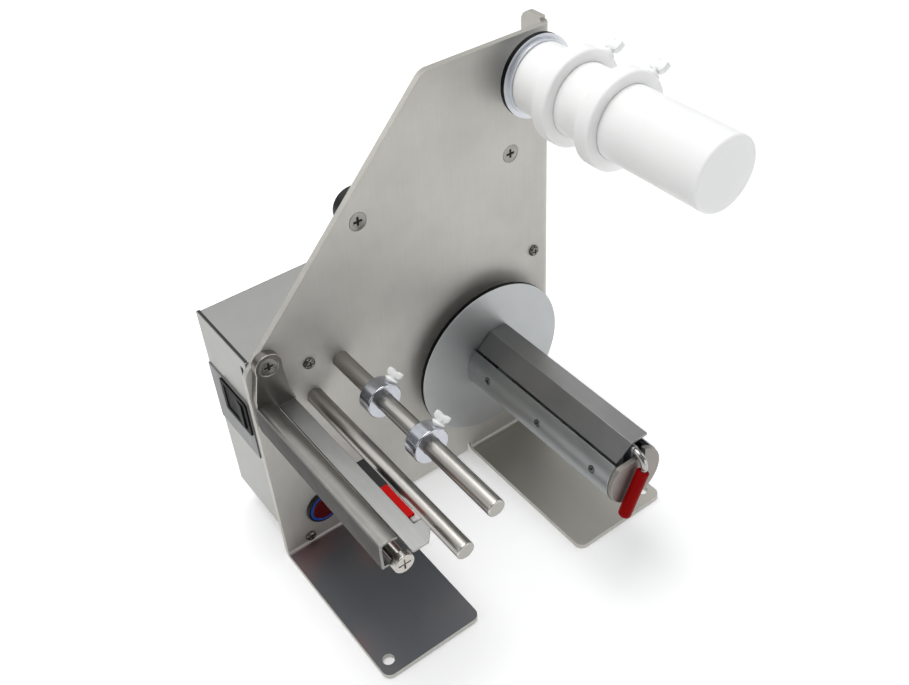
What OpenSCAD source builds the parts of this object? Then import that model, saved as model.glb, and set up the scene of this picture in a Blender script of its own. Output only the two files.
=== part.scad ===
// Desk dispenser for rolls of self-adhesive labels. A bent steel side plate stands on
// two feet and carries everything: the supply hub with its two guide rings, two guide
// rods, the peeling channel and shelf with a sliding label sensor, and the motor-driven
// rewind spindle that winds up the backing paper. A sheet box behind the plate holds the
// gear motor, the board, the switch and the power socket.
// X runs to the right along the plate, Y from the user to the box, Z up. The feet stand
// on Z = 0. Inside the modules X starts at the plate's left edge and Y at its front face;
// placed() then puts the origin under the middle of the whole machine.

/* [Side plate] */
// Width of the upright plate
plate_w = 210; // [205:1:230]
// Height of the upright plate above the table
plate_h = 282; // [276:1:300]
// Thickness of the plate and of its feet
plate_t = 3.5; // [3:0.5:4]
// Height at which the left edge starts to slope
shoulder_z = 151; // [146:1:156]
// Width that the slope leaves of the plate's top edge
top_w = 84; // [75:1:95]
// Radius of the plate's corners
corner_r = 9; // [4:1:14]
// Inside radius of the sheet bends
bend_ri = 2; // [1:0.5:3]
// Depth of the stiffening flange behind the right edge
flange_d = 18; // [12:1:24]
// Height of the plate's lower edge between the feet
bottom_gap = 2.5; // [2:0.5:4]

/* [Feet] */
// Reach of the feet in front of the plate
foot_reach = 109; // [100:1:120]
// Width of the left foot
left_foot_w = 65; // [55:1:75]
// Width of the right foot
right_foot_w = 68; // [58:1:76]
// Corner radius of the feet
foot_corner_r = 5; // [2:1:8]
// Diameter of the bench screw hole in each foot
foot_hole_d = 7; // [5:0.5:7.5]
// Distance of the hole from the foot's side edge
foot_hole_side = 7.2; // [6.5:0.1:10]
// Distance of the hole from the foot's front edge
foot_hole_front = 9.6; // [8:0.1:14]

/* [Motor box] */
// Depth of the box behind the plate
box_d = 57.5; // [54:0.5:70]
// Height of the box's underside
box_low = 19.5; // [18:0.5:21]
// Height of the box's top
box_high = 157; // [154:1:160]
// Set-in of the box's left wall from the plate's edge
box_in = 3; // [2.5:0.5:5]
// Sheet thickness of the box
sheet_t = 1.5; // [1:0.1:2]

/* [Supply hub] */
// Distance of the hub axis from the plate's right edge
supply_in = 20; // [15:1:30]
// Distance of the hub axis below the plate's top edge
supply_down = 20; // [16:1:27]
// Diameter of the hub that the label core slides on
hub_d = 39.2; // [37:0.1:40]
// Length of the hub
hub_l = 127; // [120:1:135]
// Outer diameter of the two guide rings
ring_d = 52; // [48:1:56]
// Width of a guide ring
ring_w = 10; // [8:0.5:12]
// Diameter of the fixed backing disc
backing_d = 46; // [43:1:50]

/* [Rewind spindle] */
// Distance of the spindle axis from the plate's right edge
spindle_in = 56; // [54:1:60]
// Height of the spindle axis
spindle_z = 84; // [80:1:90]
// Diameter of the rewind disc
disc_d = 104; // [90:1:108]
// Thickness of the rewind disc
disc_t = 3; // [2:0.5:4]
// Gap between the disc and the plate
disc_gap = 7.5; // [7:0.5:9]
// Outer diameter of the winding shell
shell_d = 37.5; // [36:0.5:40]
// Length of the winding core in front of the disc
core_l = 123.5; // [115:0.5:130]
// Travel of the wedge plate when the lever is turned
wedge_drop = 1.2; // [0.8:0.1:1.3]

/* [Guide rods] */
// Diameter of the guide rods
rod_d = 10; // [8:0.5:11]
// Length of the guide rods
rod_l = 140; // [125:1:145]
// Place of the lower rod from the left edge
rod_a_x = 37.2; // [36:0.1:40]
// Height of the lower rod
rod_a_z = 116; // [112:0.5:118]
// Place of the upper rod from the left edge
rod_b_x = 56.5; // [54:0.5:60]
// Height of the upper rod
rod_b_z = 132.5; // [130:0.5:138]
// Outer diameter of the rod collars
collar_d = 21.2; // [17:0.1:22]
// Width of a rod collar
collar_w = 9.6; // [8:0.2:11]

/* [Peeling edge] */
// Height of the peeling shelf's upper face
shelf_z = 126; // [124:0.5:127]
// Length of the peeling shelf in front of the plate
shelf_l = 130.5; // [120:0.5:135]
// Width of the peeling shelf
shelf_w = 9.8; // [9:0.1:11]
// Height of the channel's upper face
channel_z = 132.5; // [130:0.5:135]
// Height of the channel profile
channel_h = 17.5; // [15:0.5:19]
// Diameter of the peeling roller
roller_d = 7; // [6:0.5:7.5]

/* [Running fits] */
// Radial clearance of a running fit
run_fit = 0.05; // [0.02:0.01:0.08]
// Radial clearance of a screw in its hole
screw_fit = 0.2; // [0.1:0.05:0.4]

/* [Hidden] */
$fn = 64;

// Overrun of a cut past the face it opens, and the gap at which pieces lie on each other
cut = 1;
seat_gap = 0.3;

// Bends and edges of the side plate
bend_ro = bend_ri + plate_t;
bend_lap = 0.5;
relief_w = 3;
relief_h = 3;
flange_rise = 2;
flange_corner_r = 7;
right_foot_x = plate_w - right_foot_w;
slope_top_x = plate_w - top_w;

// Box behind the plate
box_x0 = box_in;
box_x1 = plate_w - plate_t - 2 * seat_gap;
box_y1 = plate_t + box_d;
lap_gap = 0.4;
return_w = 12;
notch_y = 4;
notch_w = 3.5;
notch_h = 9.5;
notch_drop = 6;

// Screws that show on the plate
box_screw_in = 37.3;
box_screw_right_in = 13.4;
box_screw_drop = 16.7;
low_screw_in = 16.7;
low_screw_z = 9;
pan_head_d = 7;
pan_head_h = 2.2;
dome_steps = 180;
pan_shank_d = 4;
cross_w = 1;
cross_deep = 1.2;
cross_share = 0.62;
dome_share = 0.55;

// Brackets between the plate and the box
bracket_t = 2;
bracket_w = 13;
bracket_l = 22;
upper_bracket_drop = 22;
low_bracket_in = 9;
low_bracket_w = 10;
low_bracket_z = 6;

// Rubber feet under the back of the box
rear_foot_d = 18;
rear_foot_tip_d = 15;
rear_foot_in = 37;
rear_foot_back = 13;
foot_stud_d = 5;
foot_stud_l = 5;

// Screws that hold the cover to the side walls
box_screw_d = 3;
box_head_d = 5.5;
box_head_h = 1.6;
box_screw_l = 6;
box_screw_z = 15;

// Control plate and switch
control_t = 0.8;
control_front = 10.5;
control_low = 76.5;
control_high = 119.5;
switch_y = 30;
switch_z = 107;
switch_w = 31;
switch_h = 24.5;
switch_cut_w = 27.4;
switch_cut_h = 21.6;
switch_bezel_t = 1.2;
switch_corner_r = 1.5;
switch_wall = 1.6;
switch_deep = 20;
switch_room = 14;
rocker_tilt = 4;
rocker_sink = 0.6;
rocker_end_gap = 0.9;
rocker_side_gap = 0.35;
rocker_pin_d = 3;
rocker_pin_deep = 6;
rocker_heel = 3;
rocker_heel_share = 0.5;
terminal_w = 6.3;
terminal_t = 0.8;
terminal_l = 8;
terminal_pitch = 7;

// Power socket in the box's back wall
socket_x = 40;
socket_z = 50;
socket_d = 11;
socket_flange_d = 14;
socket_flange_t = 1.6;
socket_l = 16;
socket_bore_d = 6.4;
socket_bore_l = 10;
socket_pin_d = 2;

// Circuit board on the box's back wall
board_x = 58;
board_z = 30;
board_w = 70;
board_h = 36;
board_t = 1.6;
standoff_l = 6;
standoff_d = 6;
standoff_in = 4;
standoff_pin_d = 3;
standoff_pin_l = 3;
capacitor_d = 8;
capacitor_l = 12;
relay_w = 16;
relay_h = 12;
relay_t = 10;
chip_w = 10;
chip_h = 8;
chip_t = 2;
plug_w = 15;
plug_h = 6;
plug_t = 8;
part_gap = 5;

// Gear motor on the plate's back
gearbox_w = 46;
gearbox_t = 28;
gearbox_corner_r = 4;
gearbox_bore_l = 22;
motor_rise = 15;
motor_d = 32;
motor_l = 52;
motor_cap_d = 24;
motor_cap_l = 3;
motor_screw_pitch = 36;
motor_screw_d = 4;
motor_screw_l = 10;
motor_head_d = 7.5;
motor_head_h = 2.4;

// Drive shaft and slip clutch
output_d = 8;
output_back = 20;
output_grip = 12;
spindle_d = 12;
spindle_front_gap = 1;
bushing_d = 20;
bushing_flange_d = 26;
bushing_flange_t = 2;
clutch_plate_d = 34;
clutch_plate_t = 2.2;
clutch_hub_d = 20;
felt_t = 1;
spring_count = 3;
spring_d = 22;
spring_pitch = 1.8;
spring_t = 0.8;
spring_cone = 0.9;
clutch_nut_w = 18;
clutch_nut_t = 6;

// Winding core, measured from the spindle axis
shell_t = 2.5;
shell_open_right = 50;
shell_open_left = 134;
core_flat_z = 8;
core_recess_d = 27;
core_recess_l = 17;
end_plate_t = 3;
end_plate_d = 36.2;
end_plate_edge = 0.6;
end_notch_x = 5.8;
end_notch_z = 12.6;
core_screw_angle = 166;
core_screw_d = 3;
core_head_d = 4.6;
core_head_h = 0.8;
core_screw_l = 7;
core_screw_back = 19;
core_screw_front = 13;

// Wedge plate
wedge_t = 1.5;
wedge_top_z = 22;
wedge_right_x = 11.5;
wedge_ridge_x = -0.2;
wedge_left_x = -10.6;
wedge_left_z = 12.9;
wedge_end_gap = 2;
leg_x = -9.4;
leg_t = 1.8;
leg_low_z = 1;
leg_w = 12;
leg_in = 33;
leg_gap = 0.2;

// Release lever
lever_x = 1.2;
lever_z = 16.5;
lever_d = 4;
lever_bend_r = 6.5;
lever_drop = 1.5;
lever_kink = 24;
lever_tail = 30;
lever_end_gap = 0.6;
cam_off = 1.7;
cam_w = 10;
cam_back = 48;
cam_front = 92;
bearing_w = 6;
bearing_wall = 0.5;
bearing_in = 20;
grip_d = 7.5;
grip_l = 31;
grip_from = 1.5;
grip_end_r = 3;
grip_lip_r = 0.8;

// Supply hub and its guide rings
axle_d = 12;
axle_thread_d = 8;
axle_nut_w = 13;
axle_nut_h = 7;
axle_tail = 2;
axle_washer_d = 18;
axle_washer_t = 1.5;
backing_gap = 9.5;
backing_t = 3;
backing_boss_d = 41.5;
backing_boss_l = 2.5;
backing_core_d = 24;
hub_front_wall = 5;
hub_edge_r = 1.5;
axle_groove_w = 3.6;
axle_groove_deep = 1;
hub_screw_in = 12;
hub_screw_d = 3;
hub_screw_sink = 1;
rear_ring_y = 37;
front_ring_y = 68.5;
ring_edge_r = 1.2;
ring_thumb_angle = 37.7;
thumb_d = 5;
thumb_neck = 3;
thumb_wing_w = 10;
thumb_wing_h = 6;
thumb_wing_t = 3.2;

// Rod collars
rear_collar_y = 35.4;
front_collar_y = 77.8;
collar_edge_r = 0.8;
collar_thumb_angle = 45;
collar_neck = 2.6;
collar_wing_w = 8.6;
collar_wing_h = 3.6;
collar_wing_turn = 33;
rod_screw_d = 6;
rod_screw_l = 12;
rod_head_d = 10;
rod_head_h = 6;
rod_key_w = 5;
rod_key_deep = 3;
rod_chamfer = 0.8;

// Peeling edge
bracket_top_x = 12.5;
bracket_top_z = 155;
bracket_top_r = 8;
bracket_deep = 5;
bracket_left_x = 1.2;
bracket_right_x = 24.4;
bracket_shoulder_x = 21.7;
bracket_shoulder_z = 136;
bracket_step_x = 13.6;
bracket_neck_z = 2;
channel_x = 0.2;
channel_top_w = 10.4;
channel_low_w = 5.6;
channel_t = 1.5;
channel_l = 118;
shelf_x = 13.6;
shelf_t = 1.5;
shelf_tab_w = 4.6;
shelf_tab_l = 13;
shelf_chamfer_w = 5;
shelf_chamfer_l = 6;
shelf_corner_r = 1.2;
roller_x = 10;
roller_z = 116.6;
roller_pin_d = 4;
roller_head_d = 11.4;
roller_head_h = 4;
roller_head_r = 0.6;
roller_out = 1;
bracket_low_z = 111.5;
bracket_low_x = 4;
csk_head_d = 11;
csk_head_h = 2.6;
csk_shank_d = 6;
csk_shank_l = 11;

// Label sensor
sensor_gap = 0.3;
sensor_w = 4.4;
sensor_l = 22;
sensor_y = 66;
sensor_h = 12;
sensor_sink = 0.5;
sensor_jaw_w = 5;
sensor_jaw_h = 5;
lens_l = 24;
lens_h = 6;
lens_w = 3.9;

// Push button
button_x = 28.9;
button_z = 28.6;
button_bezel_d = 23.4;
button_bezel_t = 2.4;
button_edge_r = 0.8;
button_barrel_d = 20;
button_barrel_l = 22;
button_nut_d = 24;
button_nut_h = 4;
button_ring_d = 20;
button_ring_t = 1;
button_cap_d = 17;
button_cap_out = 0.6;
button_cap_l = 8;
button_fit = 0.15;
button_room = 10;
button_notch = 12.5;

// Carrying handle behind the plate
handle_share = 0.456;
handle_slope_in = 18.505;
handle_right_in = 29.6;
handle_end_r = 11.3;
handle_end_over = 5.4;
handle_end_d = 12.5;
handle_shoulder = 14;
handle_rise_x = 44;
handle_depth = 22.5;
handle_bar_t = 8;
handle_foot_l = 22;
handle_hole_l = 9;

// Axes of the hub and the spindle, and the screws that hang on the plate's edges
supply_x = plate_w - supply_in;
supply_z = plate_h - supply_down;
spindle_x = plate_w - spindle_in;
box_screw_left = [box_screw_in, box_high - box_screw_drop];
box_screw_right = [plate_w - box_screw_right_in, box_high - box_screw_drop];
handle_z = box_high + (plate_h - box_high) * handle_share;
handle_slope_x = slope_top_x * (handle_z - shoulder_z) / (plate_h - shoulder_z);
handle_screw_left = [handle_slope_x + handle_slope_in, handle_z];
handle_screw_right = [plate_w - handle_right_in, handle_z];

// Places along the spindle, the hub and the lever, in front of the plate
disc_front_y = -(disc_gap + disc_t);
core_front_y = disc_front_y - core_l;
end_front_y = core_front_y - end_plate_t;
lever_y = end_front_y - grip_d / 2 - lever_end_gap;
hub_back_y = -(backing_gap + backing_t + backing_boss_l + seat_gap);
hub_front_y = hub_back_y - hub_l;
wedge_back_y = disc_front_y - seat_gap;
wedge_front_y = core_front_y + wedge_end_gap;
core_ri = shell_d / 2 - shell_t;
eye_r = lever_d / 2 + run_fit + bearing_wall;
motor_y = plate_t + motor_d / 2 + seat_gap;
shelf_low_z = shelf_z - shelf_t;
channel_low_z = channel_z - channel_h;
roller_front_y = -bracket_deep - channel_l - roller_out;
thumb_out = thumb_neck + thumb_wing_h;

// Places of the box, the switch, the board, the clutch and the sensor
cover_screw_x0 = box_x0 + return_w / 2;
cover_screw_x1 = box_x1 - return_w / 2;
switch_x = box_x0 - control_t;
rocker_face_x = switch_x - switch_bezel_t + rocker_sink;
rocker_pin_x = rocker_face_x + rocker_pin_deep;
board_y1 = box_y1 - sheet_t - standoff_l;
board_y0 = board_y1 - board_t;
shaft_back_y = plate_t - seat_gap;
felt_front_y = -disc_gap;
clutch_plate_y = felt_front_y + felt_t;
hub_bore = hub_d + 2 * run_fit;
collar_bore = rod_d + 2 * run_fit;
sensor_x = shelf_x + shelf_w + sensor_gap;
sensor_top_z = shelf_z - sensor_sink;

// The middle of the whole machine, which the origin lies under
machine_right = supply_x + (ring_d / 2 + thumb_out) * cos(ring_thumb_angle)
    + thumb_wing_t / 2 * sin(ring_thumb_angle);
machine_front_y = lever_y - grip_d / 2;
machine_back_y = box_y1 + box_head_h;

// Moves the machine so that the origin lies under its middle
module placed()
    translate([-machine_right / 2, -(machine_front_y + machine_back_y) / 2, 0]) children();

// Points of an arc from angle a to angle b
function arc(centre, r, a, b, steps = 8) = [
    for (i = [0:steps])
        let (t = a + (b - a) * i / steps)
            [centre.x + r * cos(t), centre.y + r * sin(t)]
];

// The points that round one corner of an outline
function turn(a) = a > 180 ? a - 360 : a < -180 ? a + 360 : a;
function rounded_corner(before, at, after, r) =
    r == 0 ? [at] :
    let (u = (before - at) / norm(before - at),
         v = (after - at) / norm(after - at),
         half = acos(u * v) / 2,
         centre = at + (u + v) / norm(u + v) * r / sin(half),
         first = at + u * r / tan(half) - centre,
         last = at + v * r / tan(half) - centre,
         a = atan2(first.y, first.x),
         b = atan2(last.y, last.x))
    arc(centre, r, a, a + turn(b - a));

// An outline whose corner i has radius radii[i]
function rounded(points, radii) = [
    for (i = [0:len(points) - 1])
        each rounded_corner(
            points[(i + len(points) - 1) % len(points)], points[i],
            points[(i + 1) % len(points)], radii[i])
];
function box_points(x0, y0, x1, y1) = [[x0, y0], [x1, y0], [x1, y1], [x0, y1]];
function even(r) = [r, r, r, r];

// An outline drawn in X and Z, as a plate between two places in Y
module upright(y0, y1)
    translate([0, y1, 0]) rotate([90, 0, 0]) linear_extrude(y1 - y0) children();

// An outline drawn in X and Y, as a plate between two heights
module flat(z0, z1)
    translate([0, 0, z0]) linear_extrude(z1 - z0) children();

// An outline drawn in Y and Z, as a plate between two places in X
module sideways(x0, x1)
    translate([x0, 0, 0]) rotate([90, 0, 90]) linear_extrude(x1 - x0) children();

// A round bar along Y between two places, at (x, z)
module bar_y(x, z, d, y0, y1)
    translate([x, y1, z]) rotate([90, 0, 0]) cylinder(d = d, h = y1 - y0);

// A turned piece: an outline of radius and distance, standing out towards the user from y0
module turned_y(x, z, y0)
    translate([x, y0, z]) rotate([90, 0, 0]) rotate_extrude() children();

// A quarter of a sheet bend, in the corner of positive X and negative Y. Its two ends reach
// a little into the flat sheets that it joins
module bend_section() {
    intersection() {
        difference() {
            circle(bend_ro);
            circle(bend_ri);
        }
        translate([0, -bend_ro]) square(bend_ro);
    }
    translate([bend_ri, 0]) square([plate_t, bend_lap]);
    translate([-bend_lap, -bend_ro]) square([bend_lap, plate_t]);
}

// The cross recess of a screw head whose top lies on Z = 0
module cross_recess(head_d)
    for (a = [0, 90])
        rotate([0, 0, a])
            translate([-head_d * cross_share / 2, -cross_w / 2, -cross_deep])
                cube([head_d * cross_share, cross_w, cross_deep + cut]);

// A domed pan head screw, its head up and its seat on Z = 0
module pan_screw(head_d, head_h, shank_d, shank_l) {
    dome = head_h * dome_share;
    dome_r = (head_d * head_d / 4 + dome * dome) / (2 * dome);
    difference() {
        union() {
            rotate_extrude() intersection() {
                square([head_d / 2, head_h]);
                translate([0, head_h - dome_r]) circle(dome_r, $fn = dome_steps);
            }
            translate([0, 0, -shank_l]) cylinder(d = shank_d, h = shank_l);
        }
        translate([0, 0, head_h]) cross_recess(head_d);
    }
}

// A countersunk screw, its flat head's top on Z = 0
module csk_screw(shank_l)
    difference() {
        union() {
            translate([0, 0, -csk_head_h])
                cylinder(d1 = csk_shank_d, d2 = csk_head_d, h = csk_head_h);
            translate([0, 0, -shank_l]) cylinder(d = csk_shank_d, h = shank_l);
        }
        cross_recess(csk_head_d);
    }

// Puts a screw drawn upright at a place in X and Z, its head towards the user
module facing_user(x, y, z) translate([x, y, z]) rotate([90, 0, 0]) children();
module facing_back(x, y, z) translate([x, y, z]) rotate([-90, 0, 0]) children();

// SIDE PLATE

function plate_outline() = rounded([
        [0, bend_ro],
        [left_foot_w, bend_ro],
        [left_foot_w, bend_ro + relief_h],
        [left_foot_w + relief_w, bend_ro + relief_h],
        [left_foot_w + relief_w, bottom_gap],
        [right_foot_x - relief_w, bottom_gap],
        [right_foot_x - relief_w, bend_ro + relief_h],
        [right_foot_x, bend_ro + relief_h],
        [right_foot_x, bend_ro],
        [plate_w - bend_ro, bend_ro],
        [plate_w - bend_ro, plate_h],
        [slope_top_x, plate_h],
        [0, shoulder_z]
    ], [0, 0, 0, 0, 0, 0, 0, 0, 0, 0, 0, corner_r, corner_r]);

module foot(x0, x1) {
    flat(0, plate_t) polygon(rounded(
        [[x0, -bend_ri], [x0, -foot_reach], [x1, -foot_reach], [x1, -bend_ri]],
        [0, foot_corner_r, foot_corner_r, 0]));
    sideways(x0, min(x1, plate_w - bend_ro)) translate([-bend_ri, bend_ro]) bend_section();
}

module plate_holes() {
    for (p = [box_screw_left, box_screw_right])
        bar_y(p.x, p.y, pan_shank_d + 2 * screw_fit, -cut, plate_t + cut);
    for (x = [low_screw_in, plate_w - low_screw_in])
        bar_y(x, low_screw_z, pan_shank_d + 2 * screw_fit, -cut, plate_t + cut);
    for (p = [handle_screw_left, handle_screw_right]) {
        bar_y(p.x, p.y, csk_shank_d + 2 * screw_fit, -cut, plate_t + cut);
        facing_user(p.x, 0, p.y) translate([0, 0, -csk_head_h])
            cylinder(d1 = csk_shank_d + 2 * screw_fit, d2 = csk_head_d + 2 * screw_fit, h = csk_head_h);
    }
    for (p = [[rod_a_x, rod_a_z], [rod_b_x, rod_b_z]])
        bar_y(p.x, p.y, rod_screw_d + 2 * screw_fit, -cut, plate_t + cut);
    bar_y(bracket_top_x, bracket_top_z, csk_shank_d + 2 * screw_fit, -cut, plate_t + cut);
    bar_y(supply_x, supply_z, axle_thread_d + 2 * screw_fit, -cut, plate_t + cut);
    bar_y(spindle_x, spindle_z, bushing_d, -cut, plate_t + cut);
    bar_y(button_x, button_z, button_barrel_d + 2 * screw_fit, -cut, plate_t + cut);
    for (x = [-motor_screw_pitch / 2, motor_screw_pitch / 2])
        for (z = [-motor_screw_pitch / 2, motor_screw_pitch / 2])
            bar_y(spindle_x + x, spindle_z + z, motor_screw_d + 2 * screw_fit, -cut, plate_t + cut);
    for (x = [foot_hole_side, plate_w - foot_hole_side])
        translate([x, -foot_reach + foot_hole_front, -cut])
            cylinder(d = foot_hole_d, h = plate_t + 2 * cut);
}

module side_plate() color("#b9b5ac") difference() {
    union() {
        upright(0, plate_t) polygon(plate_outline());
        foot(0, left_foot_w);
        foot(right_foot_x, plate_w);
        flat(bend_ro + relief_h, plate_h)
            translate([plate_w - bend_ro, bend_ro]) bend_section();
        sideways(plate_w - plate_t, plate_w) polygon(rounded([
                [bend_ro, bottom_gap], [plate_t + flange_d, bottom_gap],
                [plate_t + flange_d, plate_h + flange_rise], [bend_ro, plate_h + flange_rise]
            ], [0, foot_corner_r, flange_corner_r, 0]));
    }
    plate_holes();
}

// MOTOR BOX

module box_cover() color("#a9a7a2") difference() {
    sideways(box_x0 + sheet_t + lap_gap, box_x1 - sheet_t - lap_gap) difference() {
        polygon(rounded(box_points(plate_t, box_low, box_y1, box_high), [0, bend_ri, bend_ri, 0]));
        translate([plate_t - cut, box_low + sheet_t])
            square([box_d - sheet_t + cut, box_high - box_low - 2 * sheet_t]);
    }
    translate([button_x - button_notch, plate_t - cut, box_low - cut])
        cube([2 * button_notch, button_barrel_l + cut, sheet_t + 2 * cut]);
    bar_y(socket_x, socket_z, socket_d, box_y1 - sheet_t - cut, box_y1 + cut);
    for (x = [cover_screw_x0, cover_screw_x1])
        for (z = [box_low + box_screw_z, box_high - box_screw_z])
            bar_y(x, z, box_screw_d + 2 * screw_fit, box_y1 - sheet_t - cut, box_y1 + cut);
    for (x = [board_x + standoff_in, board_x + board_w - standoff_in])
        for (z = [board_z + standoff_in, board_z + board_h - standoff_in])
            bar_y(x, z, standoff_pin_d, box_y1 - sheet_t - cut, box_y1 + cut);
    for (x = [box_x0 + rear_foot_in, box_x1 - rear_foot_in])
        translate([x, box_y1 - rear_foot_back, box_low - cut])
            cylinder(d = foot_stud_d, h = sheet_t + 2 * cut);
}

// One side wall of the box, with the flange behind the cover that its screws go into.
// The right one starts behind the inside of the plate's bend
module side_wall(front) {
    sideways(0, sheet_t) difference() {
        polygon(box_points(front, box_low, box_y1, box_high));
        translate([plate_t + notch_y, box_high - notch_drop - notch_h]) square([notch_w, notch_h]);
    }
    upright(box_y1 - 2 * sheet_t, box_y1 - sheet_t)
        polygon(box_points(0, box_low + 2 * sheet_t, return_w, box_high - 2 * sheet_t));
}

module wall_screw_holes()
    for (z = [box_low + box_screw_z, box_high - box_screw_z])
        bar_y(return_w / 2, z, box_screw_d, box_y1 - 2 * sheet_t - cut, box_y1);

module left_panel() color("#a3a19d") difference() {
    translate([box_x0, 0, 0]) difference() {
        side_wall(plate_t);
        wall_screw_holes();
    }
    sideways(box_x0 - cut, box_x0 + sheet_t + cut) switch_cut();
}

module right_panel() color("#a3a19d")
    translate([box_x1, 0, 0]) mirror([1, 0, 0]) difference() {
        side_wall(bend_ro);
        wall_screw_holes();
    }

module switch_cut()
    translate([switch_y - switch_cut_w / 2, switch_z - switch_cut_h / 2])
        square([switch_cut_w, switch_cut_h]);

module control_plate() color("#7f8080")
    sideways(box_x0 - control_t, box_x0) difference() {
        polygon(box_points(plate_t + control_front, control_low, box_y1, control_high));
        switch_cut();
    }

// Angle brackets, from the plate's back to the inside of the cover's top and under its bottom
module box_brackets() color("#8f8d88") {
    for (p = [box_screw_left, box_screw_right])
        upper_bracket(p);
    low_bracket(low_bracket_in);
    low_bracket(plate_w - low_bracket_in - low_bracket_w);
}

module upper_bracket(p) {
    top = box_high - sheet_t;
    x0 = min(p.x - bracket_w / 2, box_x1 - sheet_t - lap_gap - bracket_w);
    difference() {
        translate([x0, 0, 0]) {
            upright(plate_t, plate_t + bracket_t)
                polygon(box_points(0, top - upper_bracket_drop, bracket_w, top));
            upright(plate_t, plate_t + bracket_l)
                polygon(box_points(0, top - bracket_t, bracket_w, top));
        }
        bar_y(p.x, p.y, pan_shank_d, plate_t - cut, plate_t + bracket_t + cut);
    }
}

module low_bracket(x0)
    difference() {
        translate([x0, 0, 0]) {
            upright(plate_t, plate_t + bracket_t)
                polygon(box_points(0, low_bracket_z, low_bracket_w, box_low));
            upright(plate_t, plate_t + bracket_l)
                polygon(box_points(0, box_low - bracket_t, low_bracket_w, box_low));
        }
        for (x = [low_screw_in, plate_w - low_screw_in])
            bar_y(x, low_screw_z, pan_shank_d, plate_t - cut, plate_t + bracket_t + cut);
    }

module plate_screws() color("#d8d6cf") {
    shank = plate_t + bracket_t;
    for (p = [box_screw_left, box_screw_right])
        facing_user(p.x, 0, p.y) pan_screw(pan_head_d, pan_head_h, pan_shank_d, shank);
    for (x = [low_screw_in, plate_w - low_screw_in])
        facing_user(x, 0, low_screw_z) pan_screw(pan_head_d, pan_head_h, pan_shank_d, shank);
}

module box_screws() color("#c9c7c0")
    for (x = [cover_screw_x0, cover_screw_x1])
        for (z = [box_low + box_screw_z, box_high - box_screw_z])
            facing_back(x, box_y1, z) pan_screw(box_head_d, box_head_h, box_screw_d, box_screw_l);

module rear_feet() color("#26262a")
    for (x = [box_x0 + rear_foot_in, box_x1 - rear_foot_in])
        translate([x, box_y1 - rear_foot_back, 0]) {
            cylinder(d1 = rear_foot_tip_d, d2 = rear_foot_d, h = box_low);
            cylinder(d = foot_stud_d, h = box_low + foot_stud_l);
        }

// SWITCH AND SOCKET

module rocker_housing() color("#1d1d1f") difference() {
    union() {
        sideways(switch_x - switch_bezel_t, switch_x) translate([switch_y, switch_z]) polygon(rounded(
            box_points(-switch_w / 2, -switch_h / 2, switch_w / 2, switch_h / 2), even(switch_corner_r)));
        sideways(switch_x, switch_x + switch_deep) switch_body(0);
        for (y = [-terminal_pitch, 0, terminal_pitch])
            translate([switch_x + switch_deep, switch_y + y - terminal_t / 2, switch_z - terminal_w / 2])
                cube([terminal_l, terminal_t, terminal_w]);
    }
    difference() {
        sideways(switch_x - switch_bezel_t - cut, switch_x + switch_room) switch_body(switch_wall);
        translate([rocker_pin_x, switch_y, switch_z - switch_cut_h / 2])
            cylinder(d = rocker_pin_d, h = switch_cut_h);
    }
}

module switch_body(wall)
    translate([switch_y, switch_z])
        polygon(box_points(
            -switch_cut_w / 2 + wall, -switch_cut_h / 2 + wall,
            switch_cut_w / 2 - wall, switch_cut_h / 2 - wall));

module rocker() color("#101012") {
    half_l = switch_cut_w / 2 - switch_wall - rocker_end_gap;
    half_h = switch_cut_h / 2 - switch_wall - rocker_side_gap;
    rise = half_l * tan(rocker_tilt);
    translate([rocker_pin_x, switch_y, 0]) rotate([0, 0, -rocker_tilt])
        difference() {
            flat(switch_z - half_h, switch_z + half_h) polygon([
                [-rocker_pin_deep, 0],
                [-rocker_pin_deep - rise, half_l],
                [-rocker_pin_deep + rocker_heel, half_l],
                [rocker_heel, half_l * rocker_heel_share],
                [rocker_heel, -half_l * rocker_heel_share],
                [-rocker_pin_deep + rocker_heel, -half_l],
                [-rocker_pin_deep - rise, -half_l]
            ]);
            translate([0, 0, switch_z - half_h - cut])
                cylinder(d = rocker_pin_d + 2 * run_fit, h = 2 * half_h + 2 * cut);
        }
}

module power_socket() color("#202022") {
    back = box_y1;
    difference() {
        union() {
            bar_y(socket_x, socket_z, socket_d, back - socket_l, back);
            bar_y(socket_x, socket_z, socket_flange_d, back - sheet_t - socket_flange_t, back - sheet_t);
        }
        bar_y(socket_x, socket_z, socket_bore_d, back - socket_bore_l, back + cut);
    }
    bar_y(socket_x, socket_z, socket_pin_d, back - socket_bore_l, back - sheet_t);
}

// CIRCUIT BOARD

module at_board_corners()
    for (x = [board_x + standoff_in, board_x + board_w - standoff_in])
        for (z = [board_z + standoff_in, board_z + board_h - standoff_in])
            translate([x, 0, z]) children();

module board_standoffs() color("#d8d8d4") at_board_corners() {
    bar_y(0, 0, standoff_d, board_y1, board_y1 + standoff_l);
    bar_y(0, 0, standoff_pin_d, board_y0 - standoff_pin_l / 2, board_y1 + standoff_l + sheet_t);
}

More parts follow.
